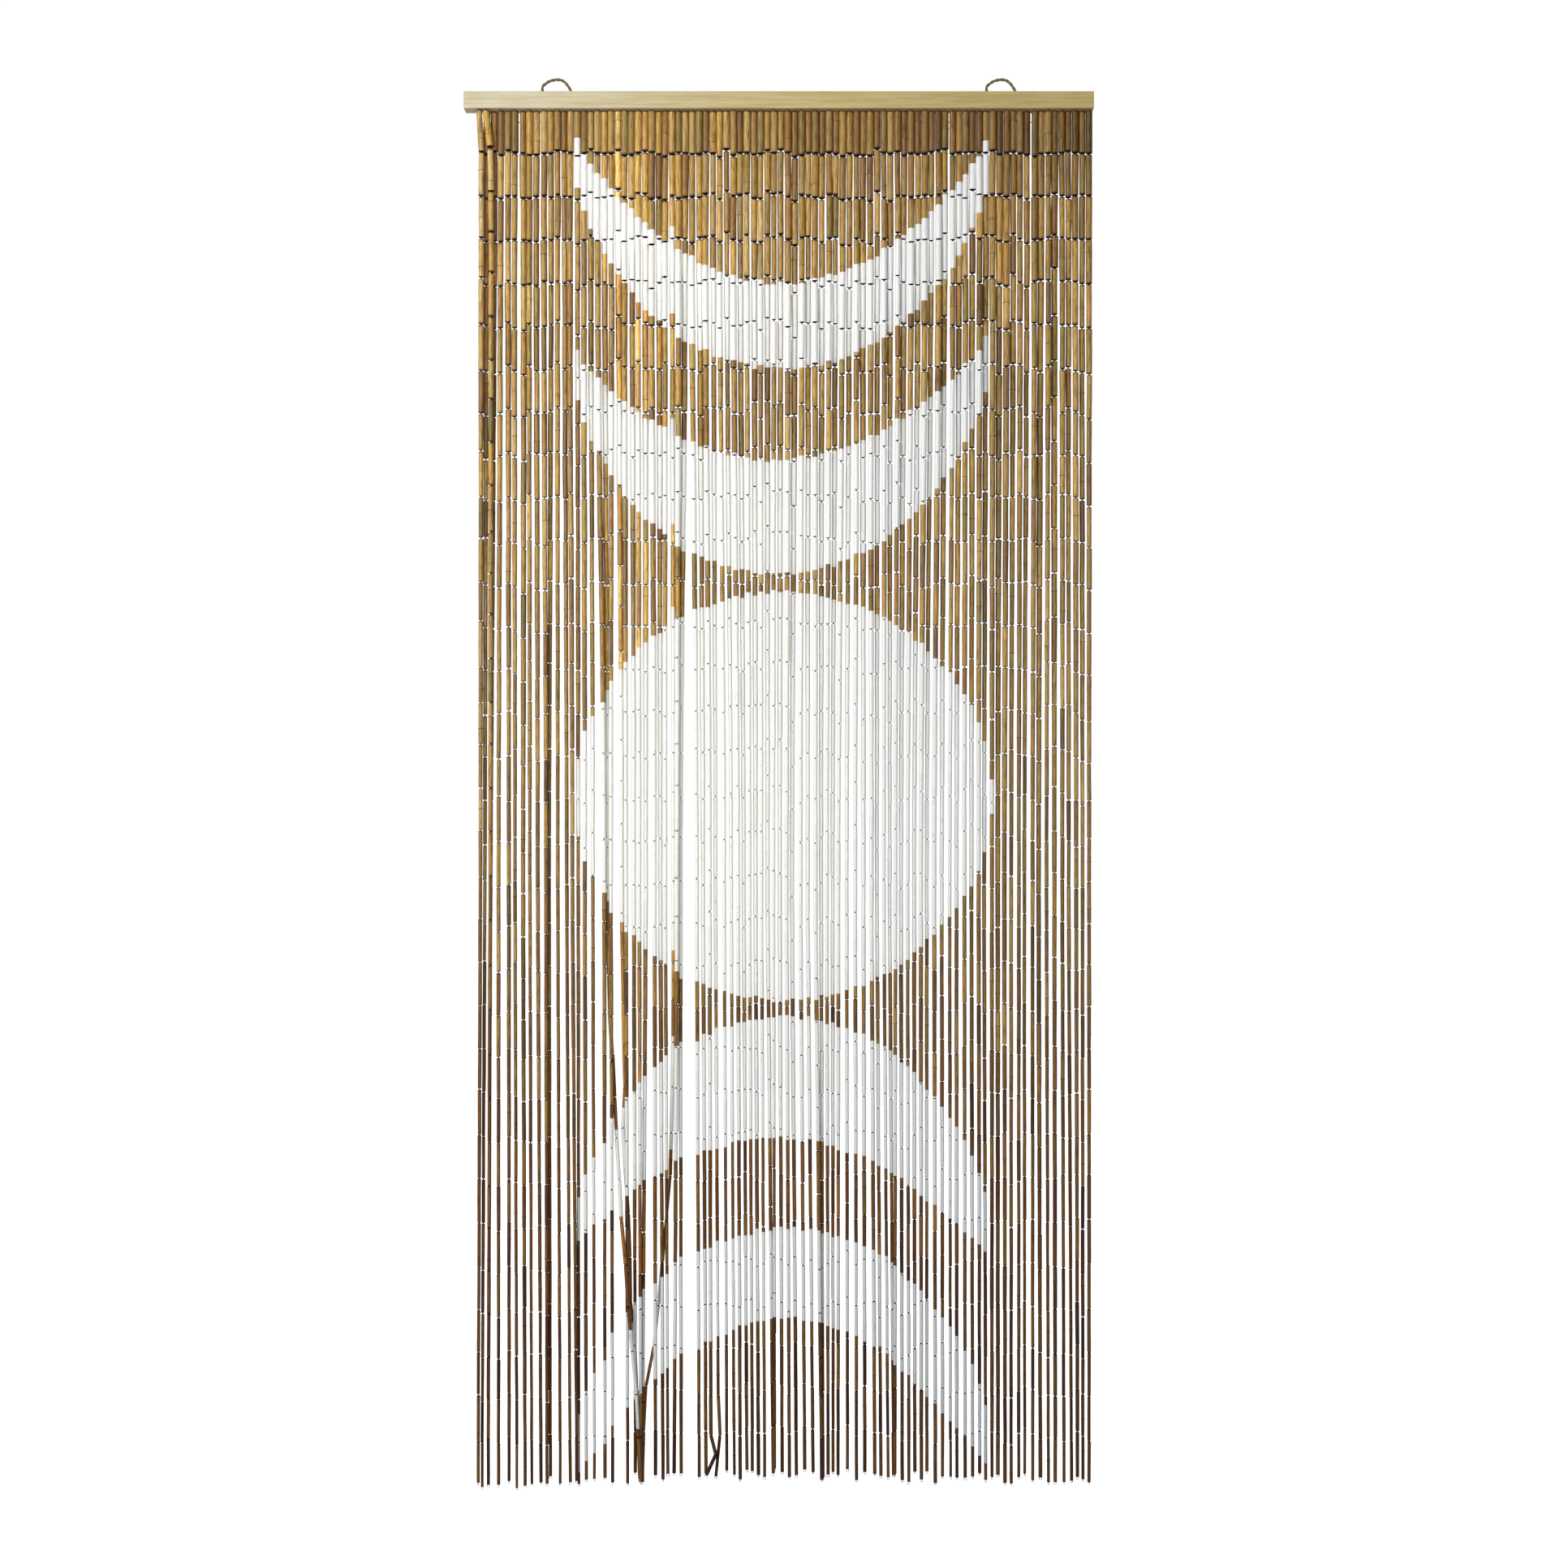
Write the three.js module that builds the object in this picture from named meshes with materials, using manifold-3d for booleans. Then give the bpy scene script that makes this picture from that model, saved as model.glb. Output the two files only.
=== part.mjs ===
// Bead curtain: a wooden batten on two rope loops, with a row of hanging bead strands.
// Millimetres, +Z up, the front faces -Y. The origin lies midway between the two loops,
// at the level of the inside of their crowns, where the hooks of a door frame bear.
import * as THREE from 'three';
import { mergeVertices } from 'three/addons/utils/BufferGeometryUtils.js';
import Module from 'manifold-3d';

// Batten
const BATTEN_LENGTH = 900;
const BATTEN_HEIGHT = 24;
const BATTEN_DEPTH = 22;
const BATTEN_BEVEL = 0.8;

// Rope loops, each a short two-ply rope with its two legs seated in drilled holes
const ROPE_RADIUS = 2;
const ROPE_PLY_RELIEF = 0.2;
const ROPE_LAY = 15;
const ROPE_SIDES = 12;
const ROPE_STEPS = 56;
const LOOP_SPACING = 636.5;
const LOOP_CROWN = 20.3;
const LEG_LEFT = -20;
const LEG_RIGHT = 22;
const LEG_SEAT = 10;
const HOLE_SIDES = 16;

// The rope's middle line between its feet, above the batten's top: the left leg stands
// nearly straight and the right one slopes
const loopArch = [
  { across: -20.4, up: 9.1 },
  { across: -16.8, up: 13.8 },
  { across: -8.4, up: 18.7 },
  { across: 2.3, up: LOOP_CROWN },
  { across: 9.9, up: 17.9 },
  { across: 15.8, up: 11.8 },
  { across: 20.9, up: 3.5 },
];

// Strands
const PLAIN_STRANDS = 90;
const FIRST_PLACE = -427.2;
const STRAND_PITCH = 9.794;
const EXTRA_STRAND = PLAIN_STRANDS;
const EXTRA_PLACE = -419.4;
const WIDTH_TOP = 9.3;
const WIDTH_UPPER = 8.1;
const WIDTH_MIDDLE = 5.6;
const WIDTH_END = 4.3;
const UPPER_DROP = 200;
const MIDDLE_DROP = 1000;
const LONGEST_DROP = 1980;

// Backing strip that the roots are fused into
const STRIP_THICKNESS = 1.6;
const STRIP_DEPTH = 12;
const STRIP_MARGIN = 1.2;

// Spacing wire behind the top beads
const WIRE_RADIUS = 0.6;
const WIRE_SIDES = 8;
const WIRE_DROP = 14.6;
const LAST_PUSHED_STRAND = 2;

// Clearance between neighbouring pieces, and the distance within which points are one
const GAP = 0.3;
const WELD = 1e-4;

// Levels worked out from the sizes above
const BATTEN_TOP = ROPE_RADIUS - LOOP_CROWN;
const BATTEN_UNDERSIDE = BATTEN_TOP - BATTEN_HEIGHT;

// How the strands hang. A drop is measured down from the batten's underside. A strand
// leaves its own place sideways on the way down, slowly to the drop named mid and then
// evenly to the drop named low. The rows are those strands whose lean differs from what
// lies between their neighbours' leans.
const SETTLE_DROP = 100;
const MID_DROP = 1147;
const LOW_DROP = 1906;
const sideways = [
  { strand: 0, mid: 0, low: -3 },
  { strand: 2, mid: -6, low: -9 },
  { strand: 4, mid: 0, low: 1 },
  { strand: 8, mid: 3, low: 7 },
  { strand: 9, mid: 6, low: 8 },
  { strand: 10, mid: 0, low: 2 },
  { strand: 12, mid: 5, low: 10 },
  { strand: 13, mid: 5, low: 11 },
  { strand: 14, mid: 2, low: 4 },
  { strand: 16, mid: 3, low: 6 },
  { strand: 17, mid: 11, low: 12 },
  { strand: 19, mid: 1, low: 4 },
  { strand: 23, mid: 3, low: 3 },
  { strand: 24, mid: 0, low: -3 },
  { strand: 25, mid: 4, low: 6.5 },
  { strand: 27, mid: 1, low: 4.5 },
  { strand: 29, mid: -3, low: -6 },
  { strand: 30, mid: -7, low: -7 },
  { strand: 31, mid: 6, low: 9 },
  { strand: 37, mid: 6, low: 10 },
  { strand: 41, mid: 1, low: 5 },
  { strand: 42, mid: 0.5, low: 8 },
  { strand: 43, mid: -1.5, low: 1 },
  { strand: 46, mid: -4, low: 2 },
  { strand: 49, mid: -0.5, low: 8 },
  { strand: 50, mid: -2, low: 1 },
  { strand: 53, mid: -6, low: -7 },
  { strand: 57, mid: 1.5, low: 6 },
  { strand: 60, mid: -2, low: 4 },
  { strand: 61, mid: -4, low: -3 },
  { strand: 66, mid: -7, low: -6.5 },
  { strand: 72, mid: -2, low: 0 },
  { strand: 77, mid: -3.5, low: -3.5 },
  { strand: 81, mid: -3.5, low: -2.5 },
  { strand: 86, mid: 1, low: 4 },
  { strand: 89, mid: 0, low: 0.5 },
];

// Strands that cross, lean on others or kink. Each has a list of drops, its distance
// sideways from its own place there, and its layer: below 0 in front of the row's middle,
// above 0 behind it, with a whole step of 2 from one strand's layer to the next.
const leaning = [
  { strand: 0, drop: [0, 55, MID_DROP, LOW_DROP], side: [-1.9, 1.9, 0, -3], layer: [-1, -1, -1, -1] },
  { strand: 1, drop: [0, 62, MID_DROP, LOW_DROP], side: [0, -1.2, -4.5, -8], layer: [1, 1, 1, 1] },
  { strand: 2, drop: [0, 200, MID_DROP, LOW_DROP], side: [0, 0, -6, -9], layer: [1, 1, 1, 1] },
  {
    strand: EXTRA_STRAND,
    drop: [0, 55, 180, MID_DROP, LOW_DROP],
    side: [0, 6.8, 8.2, 6.4, 3.5],
    layer: [-1, -1, -1, -1, -1],
  },
  {
    strand: 18,
    drop: [MID_DROP, 1295, 1353, 1435, 1505, 1586, 1761, 1842, 1961],
    side: [5.3, 8.3, 12.1, 16.4, 20.2, 26.9, 41.4, 47.8, 53],
    layer: [1, 1, 1, 1, 1, -3, -3, -3, -3],
  },
  {
    strand: 20,
    drop: [MID_DROP, 1295, 1400, 1481, 1540, 1621, 1761, 1842, 1960],
    side: [6.2, 8.5, 10.8, 6.2, 12.6, 17.6, 21.9, 25.9, 30],
    layer: [1, 1, 1, 3, 3, 3, 3, 3, 3],
  },
  {
    strand: 28,
    drop: [MID_DROP, 1330, 1470, 1528, 1574, 1638, 1769, 1836, 1906, 1960],
    side: [2, 1.4, -1.3, -3, -7.1, -12.9, -25.7, -39, -41.4, -42.5],
    layer: [1, 1, 2, 3, 3, 3, 3, 3, 3, 3],
  },
  { strand: 33, drop: [MID_DROP, 1897, 1925, 1954], side: [5, 6.7, 13.7, 0.9], layer: [-1, -1, -1, -1] },
  { strand: 34, drop: [MID_DROP, 1842, 1900, 1958], side: [3.4, 7.4, 9.8, 4], layer: [1, 1, 1, 1] },
];

// A plain strand's layer grows from the batten down to LAYER_DROP, so that neighbours pass
// in front of and behind each other lower down.
const LAYER_START = 130;
const LAYER_DROP = 520;
const PLAIN_STATIONS = [140, 330, 520, 760];
const LEAST_STATION_STEP = 60;

// How far the strand ends lie above the longest one, and how uneven they are
const END_RISE_LEFT = 10;
const END_RISE_MIDDLE = 29;
const END_RISE_RIGHT = 17;
const END_MIDDLE_STRAND = 41;
const END_UNEVEN = 8;
const LEAN_UNEVEN = 0.8;

const materials = {
  pine: new THREE.MeshStandardMaterial({ color: 0xd2c799, roughness: 0.7, metalness: 0 }),
  bamboo: new THREE.MeshStandardMaterial({ color: 0x9a8058, roughness: 0.55, metalness: 0 }),
  jute: new THREE.MeshStandardMaterial({ color: 0x73624b, roughness: 0.95, metalness: 0 }),
  wire: new THREE.MeshStandardMaterial({ color: 0x55534f, roughness: 0.45, metalness: 0.9 }),
};

const wasm = await Module();
wasm.setup();

// A closed three.js geometry as a solid that can be joined and cut
function toSolid(geometry) {
  const bare = geometry.clone();
  bare.deleteAttribute('normal');
  bare.deleteAttribute('uv');
  const welded = mergeVertices(bare, WELD);
  return new wasm.Manifold(new wasm.Mesh({
    numProp: 3,
    vertProperties: new Float32Array(welded.attributes.position.array),
    triVerts: new Uint32Array(welded.index.array),
  }));
}

function toGeometry(solid) {
  const mesh = solid.getMesh();
  const geometry = new THREE.BufferGeometry();
  geometry.setAttribute('position', new THREE.BufferAttribute(new Float32Array(mesh.vertProperties), 3));
  geometry.setIndex(new THREE.BufferAttribute(new Uint32Array(mesh.triVerts), 1));
  geometry.computeVertexNormals();
  return geometry;
}

function named(name, geometry, material) {
  const mesh = new THREE.Mesh(geometry, material);
  mesh.name = name;
  return mesh;
}

// A repeatable number from -1 to 1 for each strand and purpose
function uneven(strand, purpose) {
  const wave = Math.sin(strand * 12.9898 + purpose * 78.233) * 43758.5453;
  return 2 * (wave - Math.floor(wave)) - 1;
}

function mix(a, b, t) {
  return a + (b - a) * t;
}

function smooth(t) {
  const s = Math.min(Math.max(t, 0), 1);
  return s * s * (3 - 2 * s);
}

// The value at x on the straight lines through a list of points
function along(xs, ys, x) {
  if (x <= xs[0]) return ys[0];
  for (let i = 1; i < xs.length; i += 1) {
    if (x <= xs[i]) return mix(ys[i - 1], ys[i], (x - xs[i - 1]) / (xs[i] - xs[i - 1]));
  }
  return ys[ys.length - 1];
}

function strandPlace(strand) {
  return strand === EXTRA_STRAND ? EXTRA_PLACE : FIRST_PLACE + STRAND_PITCH * strand;
}

function strandWidth(drop) {
  const drops = [0, UPPER_DROP, MIDDLE_DROP, LONGEST_DROP];
  return along(drops, [WIDTH_TOP, WIDTH_UPPER, WIDTH_MIDDLE, WIDTH_END], drop);
}

function leanOf(strand) {
  return leaning.find((row) => row.strand === strand);
}

function strandEnd(strand) {
  const lean = leanOf(strand);
  if (lean && lean.drop[0] > 0) return lean.drop[lean.drop.length - 1];
  const rise = along(
    [0, END_MIDDLE_STRAND, PLAIN_STRANDS - 1],
    [END_RISE_LEFT, END_RISE_MIDDLE, END_RISE_RIGHT],
    strand === EXTRA_STRAND ? 0 : strand,
  );
  return LONGEST_DROP - rise + END_UNEVEN * uneven(strand, 1);
}

// The sideways distance and the layer of a strand that nothing pushes aside
function plainHang(strand, drop) {
  const strands = sideways.map((row) => row.strand);
  const middles = sideways.map((row) => row.mid);
  const lows = sideways.map((row) => row.low);
  const middle = along(strands, middles, strand) + LEAN_UNEVEN * uneven(strand, 2);
  const low = along(strands, lows, strand) + LEAN_UNEVEN * uneven(strand, 3);
  const upper = smooth((drop - SETTLE_DROP) / (MID_DROP - SETTLE_DROP));
  const lower = Math.max((drop - MID_DROP) / (LOW_DROP - MID_DROP), 0);
  const side = middle * upper + (low - middle) * lower;
  const face = strand % 2 === 1 ? -1 : 1;
  return { side, layer: face * smooth((drop - LAYER_START) / (LAYER_DROP - LAYER_START)) };
}

function hang(strand, drop) {
  const lean = leanOf(strand);
  if (!lean) return plainHang(strand, drop);
  if (drop >= lean.drop[0]) {
    return { side: along(lean.drop, lean.side, drop), layer: along(lean.drop, lean.layer, drop) };
  }
  const upper = smooth((drop - SETTLE_DROP) / (MID_DROP - SETTLE_DROP));
  return { side: lean.side[0] * upper, layer: plainHang(strand, drop).layer };
}

// The drops at which a strand's bar changes direction or width
function stationsOf(strand) {
  const lean = leanOf(strand);
  const end = strandEnd(strand);
  const root = GAP + STRIP_THICKNESS / 2;
  const own = lean ? lean.drop.filter((drop) => drop > root) : [MID_DROP];
  const isClear = (drop) => own.every((other) => Math.abs(other - drop) > LEAST_STATION_STEP);
  const shared = PLAIN_STATIONS.filter(isClear);
  return [...new Set([root, ...shared, ...own, end])].filter((drop) => drop <= end).sort((a, b) => a - b);
}

// One strand: a four-sided bar, a box whose rings are moved to the strand's stations
function strandGeometry(strand) {
  const stations = stationsOf(strand);
  const geometry = new THREE.BoxGeometry(1, 1, 1, 1, 1, stations.length - 1);
  const position = geometry.attributes.position;
  for (let i = 0; i < position.count; i += 1) {
    const ring = Math.round((0.5 - position.getZ(i)) * (stations.length - 1));
    const drop = stations[ring];
    const width = strandWidth(drop);
    const { side, layer } = hang(strand, drop);
    const depth = layer * (width / 2 + GAP);
    position.setXYZ(
      i,
      strandPlace(strand) + side + position.getX(i) * width,
      depth + position.getY(i) * width,
      BATTEN_UNDERSIDE - drop,
    );
  }
  return geometry;
}

// All strands, their roots fused into the strip under the batten
function strandsGeometry() {
  const left = FIRST_PLACE - WIDTH_TOP / 2 - STRIP_MARGIN;
  const right = strandPlace(PLAIN_STRANDS - 1) + WIDTH_TOP / 2 + STRIP_MARGIN;
  const strip = new THREE.BoxGeometry(right - left, STRIP_DEPTH, STRIP_THICKNESS);
  strip.translate((left + right) / 2, 0, BATTEN_UNDERSIDE - GAP - STRIP_THICKNESS / 2);
  let whole = toSolid(strip);
  for (let strand = 0; strand <= EXTRA_STRAND; strand += 1) {
    whole = whole.add(toSolid(strandGeometry(strand)));
  }
  return toGeometry(whole);
}

// The line that a loop's rope follows, from one leg's foot over the crown to the other
function loopPath() {
  const arch = new THREE.CatmullRomCurve3([
    new THREE.Vector3(LEG_LEFT, 0, 0),
    ...loopArch.map((point) => new THREE.Vector3(point.across, 0, point.up)),
    new THREE.Vector3(LEG_RIGHT, 0, 0),
  ]);
  const path = new THREE.CurvePath();
  const seatOf = (legX) => new THREE.Vector3(legX, 0, -LEG_SEAT);
  const footOf = (legX) => new THREE.Vector3(legX, 0, 0);
  path.add(new THREE.LineCurve3(seatOf(LEG_LEFT), footOf(LEG_LEFT)));
  path.add(arch);
  path.add(new THREE.LineCurve3(footOf(LEG_RIGHT), seatOf(LEG_RIGHT)));
  return path;
}

// A round section swept along the path, then pressed in between the two plies
function ropeGeometry() {
  const path = loopPath();
  const section = new THREE.Shape();
  for (let i = 0; i < ROPE_SIDES; i += 1) {
    const angle = (2 * Math.PI * i) / ROPE_SIDES;
    const point = [ROPE_RADIUS * Math.cos(angle), ROPE_RADIUS * Math.sin(angle)];
    if (i === 0) section.moveTo(...point);
    else section.lineTo(...point);
  }
  const geometry = new THREE.ExtrudeGeometry(section, { steps: ROPE_STEPS, extrudePath: path });
  const centres = path.getSpacedPoints(ROPE_STEPS);
  const frames = path.computeFrenetFrames(ROPE_STEPS, false);
  const stepLength = path.getLength() / ROPE_STEPS;
  const position = geometry.attributes.position;
  const point = new THREE.Vector3();
  for (let i = 0; i < position.count; i += 1) {
    point.fromBufferAttribute(position, i);
    let ring = 0;
    for (let j = 1; j < centres.length; j += 1) {
      if (point.distanceTo(centres[j]) < point.distanceTo(centres[ring])) ring = j;
    }
    const arm = point.sub(centres[ring]);
    const angle = Math.atan2(arm.dot(frames.binormals[ring]), arm.dot(frames.normals[ring]));
    const twist = (2 * Math.PI * ring * stepLength) / ROPE_LAY;
    const radius = ROPE_RADIUS * (1 - ROPE_PLY_RELIEF * (1 - Math.cos(2 * (angle - twist))));
    arm.setLength(radius).add(centres[ring]);
    position.setXYZ(i, arm.x, arm.y, arm.z);
  }
  const bare = geometry.clone();
  bare.deleteAttribute('uv');
  bare.deleteAttribute('normal');
  const welded = mergeVertices(bare, WELD);
  welded.computeVertexNormals();
  return welded;
}

function ropeLoop(name, x) {
  const loop = named(name, ropeGeometry(), materials.jute);
  loop.position.set(x, 0, BATTEN_TOP);
  return loop;
}

// The batten, a bevelled bar with a blind hole for each leg of the two loops
function battenGeometry() {
  const y = BATTEN_DEPTH / 2;
  const z = BATTEN_HEIGHT / 2;
  const b = BATTEN_BEVEL;
  const section = new THREE.Shape([
    new THREE.Vector2(-y + b, -z),
    new THREE.Vector2(y - b, -z),
    new THREE.Vector2(y, -z + b),
    new THREE.Vector2(y, z - b),
    new THREE.Vector2(y - b, z),
    new THREE.Vector2(-y + b, z),
    new THREE.Vector2(-y, z - b),
    new THREE.Vector2(-y, -z + b),
  ]);
  const bar = new THREE.ExtrudeGeometry(section, { depth: BATTEN_LENGTH, bevelEnabled: false });
  bar.translate(0, 0, -BATTEN_LENGTH / 2);
  const turn = new THREE.Matrix4().makeBasis(
    new THREE.Vector3(0, 1, 0),
    new THREE.Vector3(0, 0, 1),
    new THREE.Vector3(1, 0, 0),
  );
  bar.applyMatrix4(turn);
  bar.translate(0, 0, BATTEN_TOP - z);
  let solid = toSolid(bar);
  const holeDepth = LEG_SEAT + GAP;
  const holeRadius = (ROPE_RADIUS + GAP) / Math.cos(Math.PI / HOLE_SIDES);
  for (const loopX of [-LOOP_SPACING / 2, LOOP_SPACING / 2]) {
    for (const legX of [LEG_LEFT, LEG_RIGHT]) {
      const hole = new THREE.CylinderGeometry(holeRadius, holeRadius, 2 * holeDepth, HOLE_SIDES);
      hole.rotateX(Math.PI / 2);
      hole.translate(loopX + legX, 0, BATTEN_TOP);
      solid = solid.subtract(toSolid(hole));
    }
  }
  return toGeometry(solid);
}

// The wire lies against the backs of the top beads, and stands out farther at the left
// end, where the extra strand pushes two strands back: a cylinder whose rings are moved
// to the places where it turns
function wireGeometry() {
  const near = WIDTH_TOP / 2 + GAP + WIRE_RADIUS;
  const far = near + WIDTH_TOP / 2 + GAP;
  const pushedEdge = strandPlace(LAST_PUSHED_STRAND) + WIDTH_TOP / 2;
  const turns = [
    { x: FIRST_PLACE - WIDTH_TOP / 2, y: far },
    { x: pushedEdge + WIRE_RADIUS, y: far },
    { x: pushedEdge + 2 * STRAND_PITCH, y: near },
    { x: strandPlace(PLAIN_STRANDS - 1) + WIDTH_TOP / 2, y: near },
  ];
  const lengths = turns.length - 1;
  const wire = new THREE.CylinderGeometry(WIRE_RADIUS, WIRE_RADIUS, 1, WIRE_SIDES, lengths);
  wire.rotateZ(-Math.PI / 2);
  const position = wire.attributes.position;
  for (let i = 0; i < position.count; i += 1) {
    const turn = turns[Math.round((position.getX(i) + 0.5) * lengths)];
    const z = BATTEN_UNDERSIDE - WIRE_DROP + position.getZ(i);
    position.setXYZ(i, turn.x, turn.y + position.getY(i), z);
  }
  return wire;
}

const curtain = new THREE.Group();
curtain.name = 'bead_curtain';
curtain.add(named('batten', battenGeometry(), materials.pine));
curtain.add(ropeLoop('rope_loop_left', -LOOP_SPACING / 2));
curtain.add(ropeLoop('rope_loop_right', LOOP_SPACING / 2));
curtain.add(named('strands', strandsGeometry(), materials.bamboo));
curtain.add(named('spacing_wire', wireGeometry(), materials.wire));

export default curtain;
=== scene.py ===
"""Bamboo bead curtain on a wooden batten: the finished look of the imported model."""

import math

import bpy
import numpy as np
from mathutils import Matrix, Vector


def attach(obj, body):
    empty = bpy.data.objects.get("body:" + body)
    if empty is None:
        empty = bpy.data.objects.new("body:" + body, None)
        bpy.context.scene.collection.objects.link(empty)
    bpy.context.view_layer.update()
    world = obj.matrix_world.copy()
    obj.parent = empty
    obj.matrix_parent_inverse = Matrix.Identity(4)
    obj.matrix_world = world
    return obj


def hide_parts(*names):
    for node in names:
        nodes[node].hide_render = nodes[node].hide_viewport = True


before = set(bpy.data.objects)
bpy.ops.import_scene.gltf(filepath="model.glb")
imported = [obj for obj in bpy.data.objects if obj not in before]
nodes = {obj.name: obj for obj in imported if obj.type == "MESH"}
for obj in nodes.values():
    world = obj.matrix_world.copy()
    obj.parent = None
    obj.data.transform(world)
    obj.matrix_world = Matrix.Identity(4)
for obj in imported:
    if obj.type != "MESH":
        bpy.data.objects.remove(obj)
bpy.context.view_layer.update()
scene = bpy.context.scene
random = np.random.default_rng(27)

# The curtain's own lengths are in millimetres and become metres when they turn into points.
# The camera, the lights, the stage and the values of the materials are in metres.
MM = 0.001


def srgb(red, green, blue):
    """A colour given as 0 to 255 on screen, as the shader wants it."""
    def linear(value):
        value = value / 255
        return value / 12.92 if value <= 0.04045 else ((value + 0.055) / 1.055) ** 2.4
    return (linear(red), linear(green), linear(blue), 1)


# Camera, level with the middle of the curtain
CAMERA_PLACE = (0.0075, -2.611, -1.0073)
CAMERA_LENS = 41.83
SENSOR_WIDTH = 36

# Round soft lights, with their power in watts
KEY_LIGHT = {
    "place": (-1.8, -2.55, 0.0),
    "aim": (0.1, 0, -0.85),
    "size": 2.3,
    "power": 95,
    "colour": (1, 0.99, 0.97),
}
FILL_LIGHT = {
    "place": (1.6, -2.6, -0.9),
    "aim": (0, 0, -0.9),
    "size": 1.6,
    "power": 10,
    "colour": (0.98, 0.98, 1),
}

# Backdrop and floor. The floor lies about 10 cm under the longest strand.
BACKDROP_SEEN = 1.05
BACKDROP_LIGHT = 0.3
FLOOR_HALF = 4.0
FLOOR_LEVEL = -2.12
FLOOR_LOOK = {
    "Base Color": (0.95, 0.95, 0.95, 1),
    "Roughness": 0.9,
    "Emission Color": (1, 1, 1, 1),
    "Emission Strength": 0.85,
}

# Batten. Height 0 is where the hooks bear, under the crowns of the rope loops.
BATTEN_HEIGHT = 24
ROPE_RADIUS = 2
LOOP_CROWN = 20.3
BATTEN_TOP = ROPE_RADIUS - LOOP_CROWN
BATTEN_UNDERSIDE = BATTEN_TOP - BATTEN_HEIGHT

# Rope loops. The arch's points are to the right of the loop's place and up from the batten.
LOOP_SPACING = 636.5
LEG_LEFT = -20
LEG_RIGHT = 22
LEG_SEAT = 10
LOOP_ARCH = [
    (-20.4, 9.1),
    (-16.8, 13.8),
    (-8.4, 18.7),
    (2.3, LOOP_CROWN),
    (9.9, 17.9),
    (15.8, 11.8),
    (20.9, 3.5),
]
ROPE_STEPS = 120
ROPE_LAY = 15
PLY_RADIUS = 1.5
PLY_OFFSET = 0.68
PLY_SIDES = 18
PLY_YARNS = 3
YARN_LAY = 0.8 * ROPE_LAY
YARN_RELIEF = 0.07

# Steps of a smooth line between two of its given points, and a direction that no tube
# begins along, from which its first ring is set out
CURVE_FINENESS = 20
NO_TUBES_WAY = [0.3, 1.0, 0.2]

# Stray fibres, each of three points. They begin a little inside the rope, and none is on the
# ends that are seated in the batten.
STRAY_FIBRES = 70
STRAY_STEPS = (12, ROPE_STEPS - 14)
STRAY_ROOT = ROPE_RADIUS - 0.3
STRAY_LENGTHS = (0.5, 1.9)
STRAY_SLANT = 2.2
STRAY_BEND = 0.15
STRAY_RADII = [0.07, 0.06, 0.03]
STRAY_SIDES = 3

# Strands. A drop is measured down from the batten's underside. One extra strand hangs in
# front of the first two. The strand ends rise by END_RISES at the left edge, at the strand
# END_MIDDLE_STRAND and at the right edge.
PLAIN_STRANDS = 90
FIRST_PLACE = -427.2
STRAND_PITCH = 9.794
EXTRA_STRAND = PLAIN_STRANDS
EXTRA_PLACE = -419.4
WIDTH_DROPS = [0, 200, 1000, 1980]
WIDTHS = [9.3, 8.3, 5.8, 4.7]
LONGEST_DROP = 1980
END_RISES = [10, 29, 17]
END_MIDDLE_STRAND = 41
END_UNEVEN = 8

# From SETTLE_DROP down a strand moves from its place in the top row to its own sideways
# distance. Odd strands hang in a front layer and even ones in a back layer, a little apart
# at the top and fully apart from LAYER_DROP down.
SETTLE_DROP = 100
MID_DROP = 1147
LOW_DROP = 1906
TOP_LAYER = 0.16
LAYER_START = 60
LAYER_DROP = 380
LAYER_GAP = 0.3
LEAN_UNEVEN = 0.8
CLUMPING = 0.85
CLUMP_DROPS = [40, 160]

# What a strand's uneven numbers are for, and the factors of the sine that makes them
FOR_END = 1
FOR_MIDDLE = 2
FOR_LOW = 3
FOR_CLUMP = 4
WAVE_PER_STRAND = 12.9898
WAVE_PER_PURPOSE = 78.233
WAVE_SIZE = 43758.5453

# Top row: how much the widths differ, how strongly a wide bead is followed by a narrow one,
# and the gaps that light shows through, before these strands
TOP_WIDTH_UNEVEN = 0.4
TOP_WIDTH_LIMIT = 1.8
TOP_WIDTH_SWING = -0.75
TOP_GAP = -0.08
TOP_WIDE_GAPS = {6: 1.4, 9: 1.1, 69: 0.9, 81: 1.6}

# Sideways distance from a strand's own place: strand, at MID_DROP, at LOW_DROP
SIDEWAYS = [
    (0, 0, -3), (2, -6, -9), (4, 0, 1), (8, 3, 7), (9, 6, 8), (10, 0, 2),
    (12, 5, 10), (13, 5, 11), (14, 2, 4), (16, 3, 6), (17, 11, 12), (19, 1, 4),
    (21, 3, 5), (22, 4.5, 5.5), (23, 3, 4.5), (24, 1.4, -2.6), (25, 4, 6.5),
    (27, 1, 4.5), (29, -3, -6), (30, -7, -7), (31, 6, 9), (37, 6, 10), (41, 1, 5),
    (42, 0.5, 8), (43, -1.5, 1), (46, -4, 2), (49, -0.5, 8), (50, -2, 1),
    (53, -6, -7), (57, 1.5, 6), (60, -2, 4), (61, -4, -3), (66, -7, -6.5),
    (72, -2, 0), (77, -3.5, -3.5), (81, -3.5, -2.5), (86, 1, 4), (89, 0, 0.5),
]

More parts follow.
